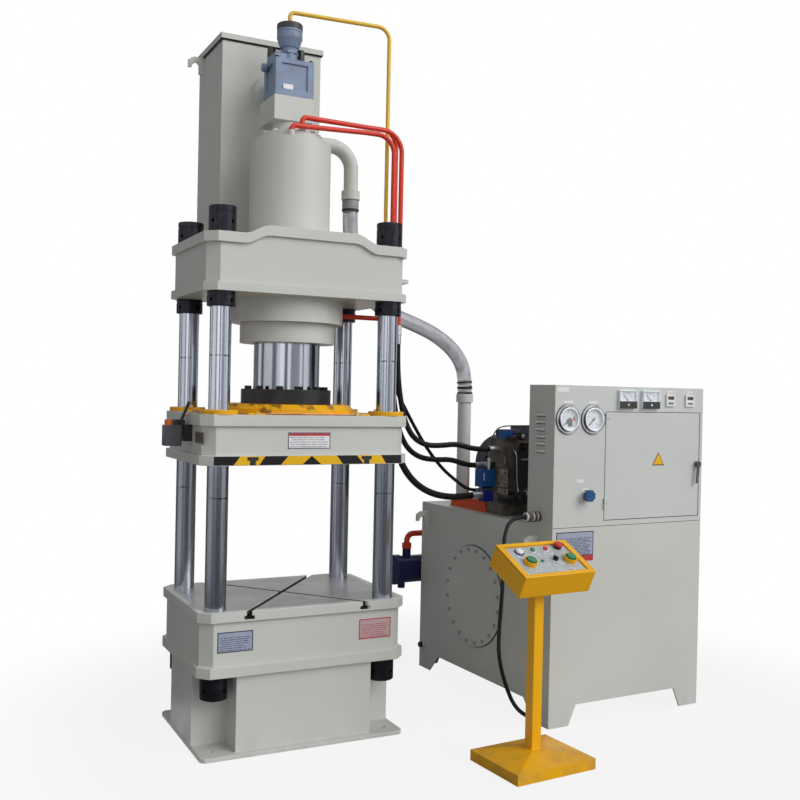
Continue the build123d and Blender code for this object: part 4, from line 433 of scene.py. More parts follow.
# How each finish is made: its maker, its colours and what else that maker takes
RECIPES = {
    "machine_cream": (sprayed, "cream", 0.42, 0.1),
    "cabinet_grey": (sprayed, "cabinet", 0.4, 0.1, 0.2),
    # Paler than the cabinet paint: painted highlight on the louvre hoods
    "louvre_light": (sprayed, (232, 234, 230), 0.4, 0.1, 0.2),
    "safety_yellow": (sprayed, "yellow", 0.36, 0.35, 0.1),
    "oily_yellow": (oily, "yellow"),
    "hazard_yellow": (sprayed, (238, 186, 16), 0.4, 0.0, 0.05),
    "hazard_black": (sprayed, (22, 22, 24), 0.42, 0.0, 0.05),
    "pipe_red": (sprayed, "red_pipe", 0.32, 0.0, 0.08),
    "pipe_yellow": (sprayed, "pilot_pipe", 0.34, 0.0, 0.08),
    "base_orange": (sprayed, "orange", 0.32, 0.0, 0.1),
    "valve_blue": (sprayed, "blue", 0.32, 0.0, 0.15),
    "deep_blue": (sprayed, (26, 34, 118), 0.34, 0.0, 0.15),
    "cooler_blue": (sprayed, "navy", 0.3, 0.0, 0.2),
    "valve_grey": (cast, "valve"),
    "motor_grey": (cast, "motor", 0.3),
    "table_ground": (table_finish, "cream", 0.643, 1),
    "slide_ground": (table_finish, "cream", 1.279, -1),
    "ground_steel": (ground_column, (0.42, 0.45, 0.52, 1), (0.52, 0.55, 0.62, 1),
                     0.15, (1.135, 1.760)),
    "ram_chrome": (ground_column, (0.36, 0.38, 0.43, 1), (0.50, 0.53, 0.59, 1), 0.13),
    "black_nut": (blackened, (0.020, 0.021, 0.026, 1), 0.36),
    "black_flange": (blackened, (0.016, 0.016, 0.018, 1), 0.42, 0.3),
    "manifold_steel": (phosphated, (0.085, 0.074, 0.060, 1), (0.170, 0.148, 0.120, 1)),
    "plate_steel": (phosphated, (0.25, 0.200, 0.160, 1), (0.42, 0.345, 0.285, 1)),
    "bronze": (turned, (0.33, 0.20, 0.07, 1), (0.60, 0.40, 0.17, 1)),
    "brass": (turned, (0.50, 0.36, 0.12, 1), (0.74, 0.56, 0.24, 1), 0.28),
    "copper": (turned, (0.42, 0.20, 0.10, 1), (0.66, 0.36, 0.20, 1)),
    "shaft_steel": (turned, (0.42, 0.42, 0.44, 1), (0.68, 0.68, 0.70, 1)),
    "spiral_steel": (turned, (0.20, 0.21, 0.24, 1), (0.40, 0.41, 0.45, 1), 0.25),
    "dark_chrome": (turned, (0.085, 0.085, 0.09, 1), (0.23, 0.23, 0.24, 1), 0.16),
    "gauge_chrome": (turned, (0.24, 0.25, 0.27, 1), (0.52, 0.53, 0.56, 1), 0.12),
    "instrument_chrome": (turned, (0.62, 0.63, 0.65, 1), (0.80, 0.81, 0.83, 1), 0.10),
    "instrument_black": (moulded, (38, 38, 40), 0.38),
    "hose_rubber": (moulded, (24, 25, 28), 0.5, 0.25, 0.0, 0.22),
    # Dark rubber of real gaskets, clamps and seams, also used for strips and sheets that are
    # painted shade
    "gasket": (moulded, (44, 44, 46), 0.7),
    "sleeve_grey": (moulded, (150, 152, 158), 0.45),
    "switchgear_grey": (moulded, (176, 178, 174), 0.5),
    "reservoir_clear": (moulded, (88, 90, 98), 0.2, 0.05, 0.2),
    "cap_orange": (moulded, (224, 104, 36), 0.35),
    "knob_blue": (moulded, (34, 84, 142), 0.3),
    "needle_black": (moulded, (24, 24, 26), 0.5),
    "selector_black": (moulded, (28, 28, 30), 0.3, 0.05),
    "button_green": (moulded, (30, 132, 92), 0.24, 0.03),
    "button_red": (moulded, (206, 36, 34), 0.26, 0.03),
    "lamp_white": (moulded, (236, 238, 242), 0.2, 0.02),
    "panel_silver": (printed, (176, 184, 186), 0.34),
    "plate_brown": (printed, (96, 90, 84)),
    "label_white": (printed, (232, 233, 234)),
    "label_blue": (printed, (160, 168, 190)),
    "label_pink": (printed, (196, 168, 172)),
    "label_red": (printed, (186, 42, 48)),
    "label_dark": (printed, (44, 50, 70)),
    "label_grey": (printed, (104, 108, 120)),
    "dial_white": (printed, (238, 245, 255), 0.5),
    "dial_mark": (printed, (52, 62, 84), 0.5),
    "dial_red": (printed, (216, 40, 70), 0.4),
    "pane": (bare_glass,),
    "clear_hose": (clear_wall,),
    "card_dark": (reflected_card, 0.02),
    "card_low": (reflected_card, 0.12),
    "card_dim": (reflected_card, 0.22),
    "card_grey": (reflected_card, 0.40),
}
FINISHES = {}


def finish(name):
    """The finish of that name, made when it is first asked for."""
    if name not in FINISHES:
        maker, *settings = RECIPES[name]
        FINISHES[name] = maker(name, *settings)
    return FINISHES[name]


# Shapes

def stand(name, data, finishes=()):
    """Puts a mesh, curve, text, lamp or camera into the scene, with these finishes."""
    for chosen in finishes:
        data.materials.append(finish(chosen))
    piece = bpy.data.objects.new(name, data)
    bpy.context.scene.collection.objects.link(piece)
    return piece


def stand_mesh(name, mesh, finishes=(), change=PRESS):
    """Puts a finished bmesh into the scene, after a change of its coordinates."""
    data = bpy.data.meshes.new(name)
    mesh.to_mesh(data)
    mesh.free()
    data.transform(change)
    return stand(name, data, finishes)


def soften(piece, width, segments=2, flats=False):
    """Closes the mesh, joins its flats if asked, rounds its sharp edges, evens its normals."""
    weld = piece.modifiers.new("weld", "WELD")
    weld.merge_threshold = MERGE
    if flats:
        joined = piece.modifiers.new("flats", "DECIMATE")
        joined.decimate_type, joined.angle_limit = "DISSOLVE", radians(0.4)
    if width:
        bevel = piece.modifiers.new("round", "BEVEL")
        bevel.width, bevel.segments = width, segments
        bevel.limit_method, bevel.angle_limit = "ANGLE", SHARP
        bevel.miter_outer = "MITER_ARC"
    even = piece.modifiers.new("even", "WEIGHTED_NORMAL")
    even.keep_sharp = False


def dress(looks, flats=False):
    """Gives carried-over nodes their finishes and rounds their edges by a width.

    Without a width, a node keeps its packed normals.
    """
    for node, (name, *width) in looks.items():
        piece = NODES[node]
        piece.data.materials.clear()
        piece.data.materials.append(finish(name))
        if width:
            soften(piece, *width, flats=flats)


def settle(piece, body, slot=None, replaces=()):
    """Lets a piece ride on its body and hides the nodes it stands for."""
    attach(piece, body)
    slot in SLOTS
    if replaces:
        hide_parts(*replaces)
    return piece


def first_slot(finishes):
    return next((chosen for chosen in finishes if chosen in SLOTS), None)


def remake(node, name, choose, place=PRESS, width=0.0):
    """Stands for a node with a copy of its solids, each face with the finish it really has.

    choose takes a face's centre in millimetres of the given place and its direction.
    """
    mesh = bmesh.new()
    mesh.from_mesh(NODES[node].data)
    bmesh.ops.remove_doubles(mesh, verts=mesh.verts, dist=MERGE)
    bmesh.ops.dissolve_limit(mesh, angle_limit=radians(0.5), verts=mesh.verts,
                             edges=mesh.edges)
    back = place.inverted()
    used = []
    for face in mesh.faces:
        centre = back @ face.calc_center_median() * 1000
        chosen = choose(centre, back.to_3x3() @ face.normal)
        if chosen not in used:
            used.append(chosen)
        face.material_index = used.index(chosen)
        face.smooth = True
    piece = stand_mesh(name, mesh, used)
    soften(piece, width)
    return settle(piece, BODY_OF[node], first_slot(used), [node])


def around(place, r, h, angle, along):
    """Point at radius r and height h of an axis through place."""
    x, y, z = place
    a, b = r * cos(angle), r * sin(angle)
    return {"z": (x + a, y + b, z + h), "y": (x + a, y + h, z + b),
            "x": (x + h, y + a, z + b)}[along]


class Shape:
    """Mesh under construction in millimetres, closed solid by closed solid."""

    def __init__(self, *finishes):
        self.mesh, self.finishes, self.coat = bmesh.new(), finishes, 0

    def use(self, name):
        """What follows has that finish."""
        self.coat = self.finishes.index(name)
        return self

    def skin(self, rings, closed=False):
        """Solid through rings of points, capped at both ends or closed on itself."""
        rows = [[self.mesh.verts.new(p) for p in ring] for ring in rings]
        faces = []
        if closed:
            rows.append(rows[0])
        else:
            faces = [self.mesh.faces.new(rows[0][::-1]), self.mesh.faces.new(rows[-1])]
        for low, high in zip(rows, rows[1:]):
            for i, corner in enumerate(low):
                j = (i + 1) % len(low)
                faces.append(self.mesh.faces.new((corner, low[j], high[j], high[i])))
        for face in faces:
            face.material_index, face.smooth = self.coat, True
        return self

    def block(self, x0, x1, y0, y1, z0, z1):
        return self.skin([[(x0, y0, z), (x1, y0, z), (x1, y1, z), (x0, y1, z)]
                          for z in (z0, z1)])

    def border(self, x0, x1, y0, y1, z0, z1, side, end):
        """Four bars round a level opening: two ends all across, two sides between them."""
        for bar in ((x0, x1, y0, y0 + end), (x0, x1, y1 - end, y1),
                    (x0, x0 + side, y0 + end, y1 - end), (x1 - side, x1, y0 + end, y1 - end)):
            self.block(*bar, z0, z1)
        return self

    def lathe(self, place, profile, along="z", sides=48, closed=False):
        """Solid turned about an axis through place, from (radius, height) pairs."""
        return self.skin([[around(place, r, h, tau * i / sides, along) for i in range(sides)]
                          for r, h in profile], closed)

    def ring(self, place, outer, inner, h0, h1, along="z", sides=48):
        """Flat ring with a square section."""
        return self.lathe(place, [(outer, h0), (outer, h1), (inner, h1), (inner, h0)],
                          along, sides, True)

    def prism(self, outline, h0, h1, along="y"):
        """Prism whose outline is given by the two other coordinates."""
        def at(a, b, h):
            return {"x": (h, a, b), "y": (a, h, b), "z": (a, b, h)}[along]
        return self.skin([[at(a, b, h) for a, b in outline] for h in (h0, h1)])

    def hexagon(self, place, r, h0, h1, along="z", turn=0.0):
        return self.skin([[around(place, r, h, turn + tau * i / 6, along) for i in range(6)]
                          for h in (h0, h1)])

    def done(self, name, body, place=PRESS, width=0.0, replaces=(), segments=2):
        """Puts the shape into the scene at its place, on its body."""
        bmesh.ops.recalc_face_normals(self.mesh, faces=self.mesh.faces)
        piece = stand_mesh(name, self.mesh, self.finishes, place @ Matrix.Scale(MM, 4))
        soften(piece, width, segments)
        return settle(piece, body, first_slot(self.finishes), replaces)


def curve(name, points, radius, chosen, place=PRESS, kind="NURBS", sides=4):
    """Round tube along a smooth line that the given places pull on."""
    data = bpy.data.curves.new(name, "CURVE")
    data.dimensions = "3D"
    data.bevel_depth = 1.0
    data.bevel_resolution = sides
    data.use_fill_caps = True
    spline = data.splines.new(kind)
    spline.points.add(len(points) - 1)
    for held, point in zip(spline.points, points):
        held.co, held.radius = (*(place @ (Vector(point) * MM)), 1), radius
    if kind == "NURBS":
        spline.order_u = 3
        spline.use_endpoint_u = True
        spline.resolution_u = 10
    return stand(name, data, [chosen])


def small_pipe(name, body, points, radius, chosen, place=PRESS):
    """Thin pipe or wire that is fixed all along."""
    return settle(curve(name, points, radius, chosen, place), body, chosen)


def dial_numbers(name, values, size, centre, radius, start, sweep):
    """Plain numbers round a dial of the cabinet, from a start angle and back by sweep."""
    x, y, z = centre
    for i, value in enumerate(values):
        data = bpy.data.curves.new(f"{name}_{i}", "FONT")
        data.body, data.size = str(value), size
        data.align_x = data.align_y = "CENTER"
        data.extrude = 0.0002
        piece = stand(f"{name}_{i}", data, ["dial_mark"])
        a = radians(start - sweep * i / (len(values) - 1))
        spot = Vector((x + radius * cos(a), y, z + radius * sin(a)))
        piece.matrix_world = (UNIT @ Matrix.Translation(spot * MM)
                              @ Matrix.Rotation(pi / 2, 4, "X"))
        settle(piece, "frame")


def tick(shape, x, z, degrees, inner, outer, half, front, back):
    """Scale mark between two radii and two depths, half its width either side."""
    c, s = cos(radians(degrees)), sin(radians(degrees))
    outline = [(x + r * c - w * s, z + r * s + w * c)
               for r, w in ((inner, -half), (outer, -half), (outer, half), (inner, half))]
    shape.prism(outline, front, back)


def spot_in(place, *spot):
    """Point of the power unit or the pedestal, in millimetres of the press."""
    return tuple(place @ (Vector(spot) * MM) * 1000)


def port(reach, y, z):
    """Straight end of a hose in the valve block's left face."""
    return spot_in(UNIT, -reach, y, z), spot_in(UNIT, -2, y, z)


def near(centre, x, y, radius):
    """Whether a point lies in an upright round post."""
    return (centre.x - x) ** 2 + (centre.y - y) ** 2 < radius ** 2


def crimps(first, last):
    """Crimped silver sleeves at the two ends of a hose, in metres of its length."""
    made = []
    if first:
        made.append(("sleeve_top", [(0.001, first, 0.0022)], "shaft_steel"))
    if last:
        made.append(("sleeve_foot", [(-last, -0.001, 0.0022)], "shaft_steel"))
    return made


def line_of(hose):
    """Points along a hose's middle line, from its first end."""
    depth, hose.data.bevel_depth = hose.data.bevel_depth, 0
    line = bpy.data.meshes.new_from_object(hose.evaluated_get(
        bpy.context.evaluated_depsgraph_get()))
    hose.data.bevel_depth = depth
    spots = [v.co.copy() for v in line.vertices]
    bpy.data.meshes.remove(line)
    return spots


def sleeve(name, spots, bands, radius, chosen):
    """Rings round a hose: (from, to, extra radius) in metres along its middle line."""
    sides = 28
    runs = [(b - a).length for a, b in zip(spots, spots[1:])]

    def station(distance):
        for here, after, run in zip(spots, spots[1:], runs):
            if distance <= run:
                return here.lerp(after, distance / run), (after - here).normalized()
            distance -= run
        return spots[-1], (spots[-1] - spots[-2]).normalized()

    shape = Shape(chosen)
    for start, end, extra in bands:
        rings = []
        edge = min(0.0012, (end - start) / 4)
        for distance, share in ((start, 0.6), (start, 0.97), (start + edge, 1.0),
                                (end - edge, 1.0), (end, 0.97), (end, 0.6)):
            middle, ahead = station(distance)
            side = ahead.cross(Vector((0.0, 0.3, 1.0))).normalized()
            over = ahead.cross(side)
            reach = (radius + extra) * share
            rings.append([(middle + (side * cos(tau * i / sides)
                                     + over * sin(tau * i / sides)) * reach) / MM
                          for i in range(sides)])
        shape.skin(rings)
    return shape.done(name, "frame")


def sign(name, body, place, along, face, wide, high, ground, line, rows, header=None):
    """Blank printed plate: frame, ruled rows and, if asked, a coloured header."""
    shape = Shape(ground, line, header or line)
    (a0, a1), (b0, b1) = wide, high
    rise, edge, margin = sizes().label_rise * 1000, 4.4, 9

    def strip(lo_a, hi_a, lo_b, hi_b, inner, outer):
        levels = face - outer, face - inner
        if along == "y":
            shape.block(lo_a, hi_a, *levels, lo_b, hi_b)
        else:
            shape.block(*levels, lo_a, hi_a, lo_b, hi_b)

    shape.use(ground)
    strip(a0, a1, b0, b1, -0.3, rise)
    shape.use(line)
    for lo_a, hi_a, lo_b, hi_b in ((a0, a1, b0, b0 + edge), (a0, a1, b1 - edge, b1),
                                   (a0, a0 + edge, b0, b1), (a1 - edge, a1, b0, b1)):
        strip(lo_a, hi_a, lo_b, hi_b, rise - 0.2, rise + 0.25)
    top = b1 - (b1 - b0) * 0.24
    for i in range(rows):
        level = b0 + edge + (top - b0 - edge) * (i + 0.5) / rows
        start = a0 + margin + (a1 - a0) * (0.0, 0.03, 0.0, 0.05)[i % 4]
        for k in range(9):
            end = start + (0.13, 0.05, 0.17, 0.08, 0.11)[(3 * i + k) % 5] * (a1 - a0)
            if end > a1 - margin:
                break
            strip(start, end, level - 1.3, level + 1.3, rise - 0.2, rise + 0.15)
            start = end + 0.022 * (a1 - a0)
    if header:
        shape.use(header)
        strip(a0 + edge, a1 - edge, top + 2, b1 - edge, rise - 0.2, rise + 0.2)
    shape.done(name, body, place)


# Operators, one for each piece or group of pieces

class PRESS_OT_cords(bpy.types.Operator):
    """Pressure hoses, the clear return hose and the pedestal's cable"""
    bl_idname = "press.cords"
    bl_label = "Hoses and cable"

    def lay(self, node, points, diameter, chosen, length, ends=()):
        """One hose on its route; ends are the sleeves on it: name, bands, finish.

        A band reaches from one length to another, counted from the far end below zero.
        """
        piece = curve(node + "_line", points, diameter / 2 * MM, chosen, sides=8)
        settle(piece, "frame", chosen, [node])
        spots = line_of(piece)
        total = sum((b - a).length for a, b in zip(spots, spots[1:]))
        for name, bands, look in ends:
            held = [(a if a >= 0 else total + a, b if b > 0 else total + b, extra)
                    for a, b, extra in bands]
            sleeve(f"{node}_{name}", spots, held, diameter / 2 * MM, look)
        [c * MM for c in points[0]]
        return piece

    def execute(self, context):
        rubber = "hose_rubber"
        self.lay("pressure_hose_a", [
            (567, -60, 1900), (567, -60, 1795), (574, -59, 1680), (592, -58, 1566),
            (620, -56, 1462), (670, -53, 1384), (748, -47, 1346), (842, -37, 1344),
            (944, -18, 1352), *port(90, 560, 1322)],
            28, rubber, 1014, crimps(0.044, 0.0))
        self.lay("pressure_hose_b", [
            (584, 40, 1900), (584, 40, 1786), (592, 40, 1650), (610, 41, 1520),
            (640, 43, 1406), (690, 45, 1322), (766, 48, 1276), (858, 50, 1264),
            (956, 47, 1266), *port(88, 630, 1232)],
            28, rubber, 1058, crimps(0.044, 0.040))
        self.lay("pilot_hose", [
            (514, 0, 1900), (514, 0, 1822), (536, -2, 1728), (582, -2, 1640),
            (636, 6, 1556), (704, 32, 1464), (786, 70, 1366), (866, 96, 1278),
            (942, 104, 1202), (1012, 80, 1142), *port(72, 636, 1098)],
            18, rubber, 1086, crimps(0.034, 0.030))
        self.lay("main_hose", [
            (524, -60, 1900), (524, -60, 1770), (532, -62, 1626), (544, -64, 1484),
            (564, -64, 1350), (608, -62, 1238), (684, -57, 1152), (784, -50, 1098),
            (896, -44, 1076), (1000, -33, 1078), *port(58, 570, 1082)],
            34, rubber, 1256, crimps(0.050, 0.100))
        clear = self.lay("clear_return_hose", [
            (516, 450, 2655), (516, 450, 2470), (543, 452, 2290), (632, 461, 2140),
            (786, 479, 2050), (960, 500, 2002), (1110, 517, 1946), (1240, 528, 1858),
            spot_in(UNIT, 190, 1110, 1739), spot_in(UNIT, 190, 1110, 1613)],
            84, "clear_hose", 1474, [
                ("cuff", [(0.002, 0.052, 0.003)], "sleeve_grey"),
                ("cuff_band", [(0.050, 0.062, 0.0045)], "gasket"),
                ("clamps", [(-0.075, -0.064, 0.003), (-0.045, -0.030, 0.003),
                            (-0.012, -0.001, 0.003)], "gasket")])
        self.lay("control_cable", [
            spot_in(UNIT, -88, 103, 1020), spot_in(UNIT, -143, 103, 1020), (966, -495, 994),
            (927, -524, 946), (899, -560, 876), (872, -603, 796), (840, -648, 706),
            (804, -692, 614), (772, -732, 522), (758, -756, 448), (764, -772, 380),
            (776, -781, 330), (793, -785, 284), (812, -797, 234),
            spot_in(PEDESTAL, 0, 87.5, 200), spot_in(PEDESTAL, 0, 25.5, 200)],
            18, rubber, 1096)
        self.spiral(clear, 0.042)
        return {"FINISHED"}

    def spiral(self, hose, bore):
        """Steel wire wound inside the clear hose, along the hose's own line."""
        spots = line_of(hose)
        radius = bore - 0.9 * sizes().spiral_wire
        side = (spots[1] - spots[0]).orthogonal().normalized()
        points, turn, step = [], 0.0, sizes().spiral_pitch / SPIRAL_STEPS
        for here, after in zip(spots, spots[1:]):
            run = after - here
            ahead = run.normalized()
            side = (side - ahead * side.dot(ahead)).normalized()
            count = max(1, round(run.length / step))
            for i in range(count):
                turn += tau / SPIRAL_STEPS * run.length / step / count
                across = side * cos(turn) + ahead.cross(side) * sin(turn)
                points.append((here + run * (i / count) + across * radius) * 1000)
        wire = curve("return_hose_spiral", points, sizes().spiral_wire, "spiral_steel",
                     kind="POLY", sides=1)
        settle(wire, "frame")


class PRESS_OT_stage(bpy.types.Operator):
    """Camera, lamps, white background and pale floor"""
    bl_idname = "press.stage"
    bl_label = "Stage"

    def execute(self, context):
        scene = context.scene
        scene.view_settings.view_transform = "Standard"
        yaw, pitch, roll = radians(BEARING), radians(TILT), radians(ROLL)
        ahead = Vector((sin(yaw) * cos(pitch), cos(yaw) * cos(pitch), sin(pitch)))
        right = Vector((cos(yaw), -sin(yaw), 0))
        up = right.cross(ahead)
        across = right * cos(roll) + up * sin(roll)
        above = up * cos(roll) - right * sin(roll)
        eye = stand("eye", bpy.data.cameras.new("eye"))
        eye.data.lens, eye.data.sensor_width = FOCAL * SENSOR / IMAGE_WIDTH, SENSOR
        eye.data.clip_end = 60
        eye.matrix_world = Matrix([(*row, held) for row, held in zip(
            zip(across, above, -ahead), CAMERA_PLACE)] + [(0, 0, 0, 1)])
        scene.camera = eye
        self.lamp("key", Vector((0.52, -0.68, 0.56)), 2.0, 50)
        self.lamp("fill", Vector((-0.25, -0.90, 0.25)), 0.40, 60)
        self.world(scene)
        self.floor()
        self.cards()
        return {"FINISHED"}

    def lamp(self, name, towards, strength, width):
        sun = stand(name, bpy.data.lights.new(name, "SUN"))
        sun.data.energy, sun.data.angle = strength, radians(width)
        sun.rotation_mode = "QUATERNION"
        sun.rotation_quaternion = towards.to_track_quat("Z", "Y")

    def cards(self):
        """Dark and grey cards round the machine, seen only by what reflects.

        Each reaches from one bearing to another, in degrees from the camera's own side
        and to the right of it, and from one height to another.
        """
        cards = {
            "left_card": (-158, -112, 1.2, 6.5, "card_dim"),
            "strip_1": (-96, -84, 1.2, 3.6, "card_low"),
            "strip_2": (-42, -34, 1.2, 3.6, "card_low"),
            "strip_3": (-7, 4, 1.2, 3.6, "card_low"),
            "strip_4": (14, 46, 1.2, 3.6, "card_grey"),
            "strip_5": (56, 61, 1.2, 3.6, "card_dark"),
            "right_card": (90, 118, 1.2, 4.6, "card_dark"),
            "back_card": (132, 158, 1.2, 6.5, "card_dim"),
            "high_back_card": (158, 202, 2.2, 6.5, "card_dim"),
            "low_back_card": (-180, -100, 0.0, 1.2, "card_low"),
            "low_left_card": (-100, -46, 0.0, 1.2, "card_grey"),
            "low_middle_card": (-46, -8, 0.0, 1.2, "card_dim"),
            "low_front_card": (-8, 42, 0.0, 1.2, "card_low"),
            "low_right_card": (42, 90, 0.0, 1.2, "card_grey"),
            "low_far_card": (90, 180, 0.0, 1.2, "card_low"),
        }
        for name, (start, end, low, high, chosen) in cards.items():
            steps = max(1, round((end - start) / 6))
            bearings = [radians(start + (end - start) * i / steps - CARD_BEARING)
                        for i in range(steps + 1)]
            self.card(name, [(CARD_RADIUS * sin(a), -CARD_RADIUS * cos(a), z)
                             for a in bearings for z in (low, high)], chosen)
        inner, height = 0.78, 0.002
        ring = [radians(6 * i) for i in range(61)]
        self.card("floor_card", [(r * cos(a), r * sin(a), height)
                                 for a in ring for r in (inner, CARD_RADIUS)], "card_low")

    def card(self, name, spots, chosen):
        """Band through pairs of points."""
        data = bpy.data.meshes.new(name)
        data.from_pydata(spots, [], [(i, i + 2, i + 3, i + 1)
                                     for i in range(0, len(spots) - 2, 2)])
        piece = stand(name, data, [chosen])
        piece.visible_camera = piece.visible_diffuse = piece.visible_shadow = False

    def world(self, scene):
        """White where it is seen, a quarter as bright as a light."""
        scene.world = bpy.data.worlds.new("white_room")
        room = Nodes(scene.world)
        background = room.tree.nodes["Background"]
        background.inputs["Color"].default_value = (1, 1, 1, 1)
        room.put(background.inputs["Strength"], 0.25 + room.seen() * 0.75)

    def floor(self):
        """Pale floor that turns as white as the background away from the machine."""
        mesh = bmesh.new()
        bmesh.ops.create_circle(mesh, cap_ends=True, radius=18, segments=96)
        f = Finish("pale_floor", Roughness=0.85, Specular_IOR_Level=0.1)
        clouds = f.noise(0.8, 3)
        f.feed("Base Color", f.blend(clouds, (0.36, 0.36, 0.36, 1), (0.42, 0.42, 0.42, 1)))
        middle = (0.9, -0.2, 0)
        offset = f.node("ShaderNodeVectorMath", {"operation": "SUBTRACT"},
                        {0: f.place, 1: middle})
        far = f.node("ShaderNodeVectorMath", {"operation": "LENGTH"}, {0: offset}, "Value")
        glow = f.node("ShaderNodeEmission", {}, {"Color": (1, 1, 1, 1), "Strength": 1.0})
        share = (0.87 + f.between(far, 1.5, 3.0) * 0.13) * f.seen()
        mix = f.node("ShaderNodeMixShader", {},
                     {0: share, 1: Wire(f, f.shader.outputs[0]), 2: glow})
        f.put(f.tree.nodes["Material Output"].inputs["Surface"], mix)
        piece = stand_mesh("floor", mesh)
        piece.data.materials.append(f.made)
        piece.location.z = -0.0005


class PRESS_OT_frame(bpy.types.Operator):
    """Base, table, columns, nuts and crown"""
    bl_idname = "press.frame"
    bl_label = "Press frame"

    def execute(self, context):
        edge = sizes().plate_edge
        dress({
            "base_frame": ("machine_cream", edge),
            "bolster_table": ("table_ground", edge),
            "guide_columns": ("ground_steel",),
            "column_nuts": ("black_nut", 0.0015),
            "crown_beam": ("machine_cream", edge * 1.6),
        })
        sign("table_plate_left", "frame", PRESS, "y", TABLE_FRONT, (-417, -256), (465, 555),
             "label_blue", "label_dark", 7)
        sign("table_plate_right", "frame", PRESS, "y", TABLE_FRONT, (257, 419), (464, 557),
             "label_pink", "label_red", 7)
        return {"FINISHED"}


class PRESS_OT_slide(bpy.types.Operator):
    """Slide with its covers, hazard band, lube pipes, ram and flange"""
    bl_idname = "press.slide"
    bl_label = "Slide and ram"

    def execute(self, context):
        dress({
            "slide_beam": ("slide_ground", sizes().plate_edge),
            "slide_covers": ("oily_yellow", 0.0012),
            "guide_bushes": ("bronze", 0.0006),
            "main_ram": ("ram_chrome",),
            "ram_flange_screws": ("black_nut", 0.0006),
        })
        flange = Shape("black_flange").ring((0, 0, 0), 215, 158.5, 1548, 1617, sides=160)
        flange.done("ram_flange_turned", "slide", width=0.002, replaces=("ram_flange",))
        self.hazard_band()
        self.oil_tray()
        sign("slide_plate", "slide", PRESS, "y", SLIDE_FRONT, (-108, 97), (1351, 1425),
             "label_white", "label_grey", 5, "label_red")
        sign("slide_side_plate", "slide", PRESS, "x", SLIDE_LEFT, (-314, -179), (1370, 1425),
             "plate_brown", "label_pink", 0)
        self.lube_pipes()
        return {"FINISHED"}

    def hazard_band(self):
        """Slanting stripes either side of a middle triangle on the slide's lower flange, with
        dark sheets over its two slot openings as painted shade.
        """
        tops = [-451, -332, -218, -109, 2, 2, 124, 224, 347, 454]
        lows = [-451, -362, -245, -145, -43, 49, 155, 260, 375, 455]
        shape = Shape("hazard_yellow", "hazard_black")
        for i, (t0, t1, l0, l1) in enumerate(zip(tops, tops[1:], lows, lows[1:])):
            shape.use("hazard_yellow" if i % 2 else "hazard_black")
            outline = [(l0, BAND_LOW), (l1, BAND_LOW), (t1, BAND_TOP), (t0, BAND_TOP)]
            if t0 == t1:
                outline = outline[:3]
            shape.prism(outline, BAND_FRONT, BAND_FRONT - 0.8)
        shape.done("hazard_band", "slide")
        # Dark T-shaped sheets over the slot openings in the flange: painted shade
        ends = Shape("gasket")
        for x in (-274.9, 274.9):
            ends.prism([(x - 14, 1279.5), (x + 14, 1279.5), (x + 14, 1301), (x + 25.6, 1301),
                        (x + 25.6, 1317), (x - 25.6, 1317), (x - 25.6, 1301), (x - 14, 1301)],
                       BAND_FRONT - 0.2, BAND_FRONT - 1.1)
        ends.done("slide_slot_ends", "slide")

    def oil_tray(self):
        """Irregular oil tray of yellow sheet round the middle cover."""
        rim = [(390, 152), (352, 176), (314, 196), (306, 250), (298, 316), (140, 326),
               (-120, 322), (-296, 318), (-308, 262), (-312, 200), (-350, 178), (-388, 150),
               (-392, -20), (-386, -148), (-346, -180), (-314, -202), (-304, -262),
               (-292, -322), (-90, -328), (110, -324), (300, -320), (308, -256),
               (316, -198), (356, -174), (388, -146), (394, 10)]
        Shape("oily_yellow").prism(rim, 1501.8, 1510, "z").done(
            "oil_tray", "slide", width=0.0012)

    def lube_pipes(self):
        """Copper pipes from the grease pump to the bushes, with their brass ends."""
        radius = sizes().lube_pipe
        runs = [
            [(-512, -70, 1490), (-470, -60, 1512), (-440, -20, 1514), (-420, 90, 1512),
             (-412, 170, 1526)],
            [(-512, -84, 1490), (-480, -80, 1512), (-440, -110, 1514), (-414, -150, 1512),
             (-410, -178, 1526)],
            [(-512, -100, 1490), (-460, -110, 1510), (-380, -210, 1508), (-250, -322, 1508),
             (-120, -334, 1508), (80, -336, 1508), (230, -330, 1508), (320, -300, 1508),
             (352, -262, 1526)],
            [(-512, -112, 1490), (-470, -60, 1508), (-350, 40, 1508), (-336, 200, 1508),
             (-180, 330, 1508), (150, 334, 1508), (300, 310, 1508), (352, 268, 1526)],
        ]
        for i, run in enumerate(runs):
            small_pipe(f"lube_pipe_{i}", "slide", run, radius, "copper")
        shape = Shape("brass")
        for x, y in ((-412, 172), (-410, -178), (354, -260), (354, 268)):
            shape.hexagon((x, y, 1520), 7, 0, 12)
        for x, y in ((-250, -322), (230, -330), (150, 334), (-180, 330)):
            shape.block(x - 8, x + 8, y - 5, y + 5, 1501.5, 1513)
        shape.done("lube_ends", "slide", width=0.0005)


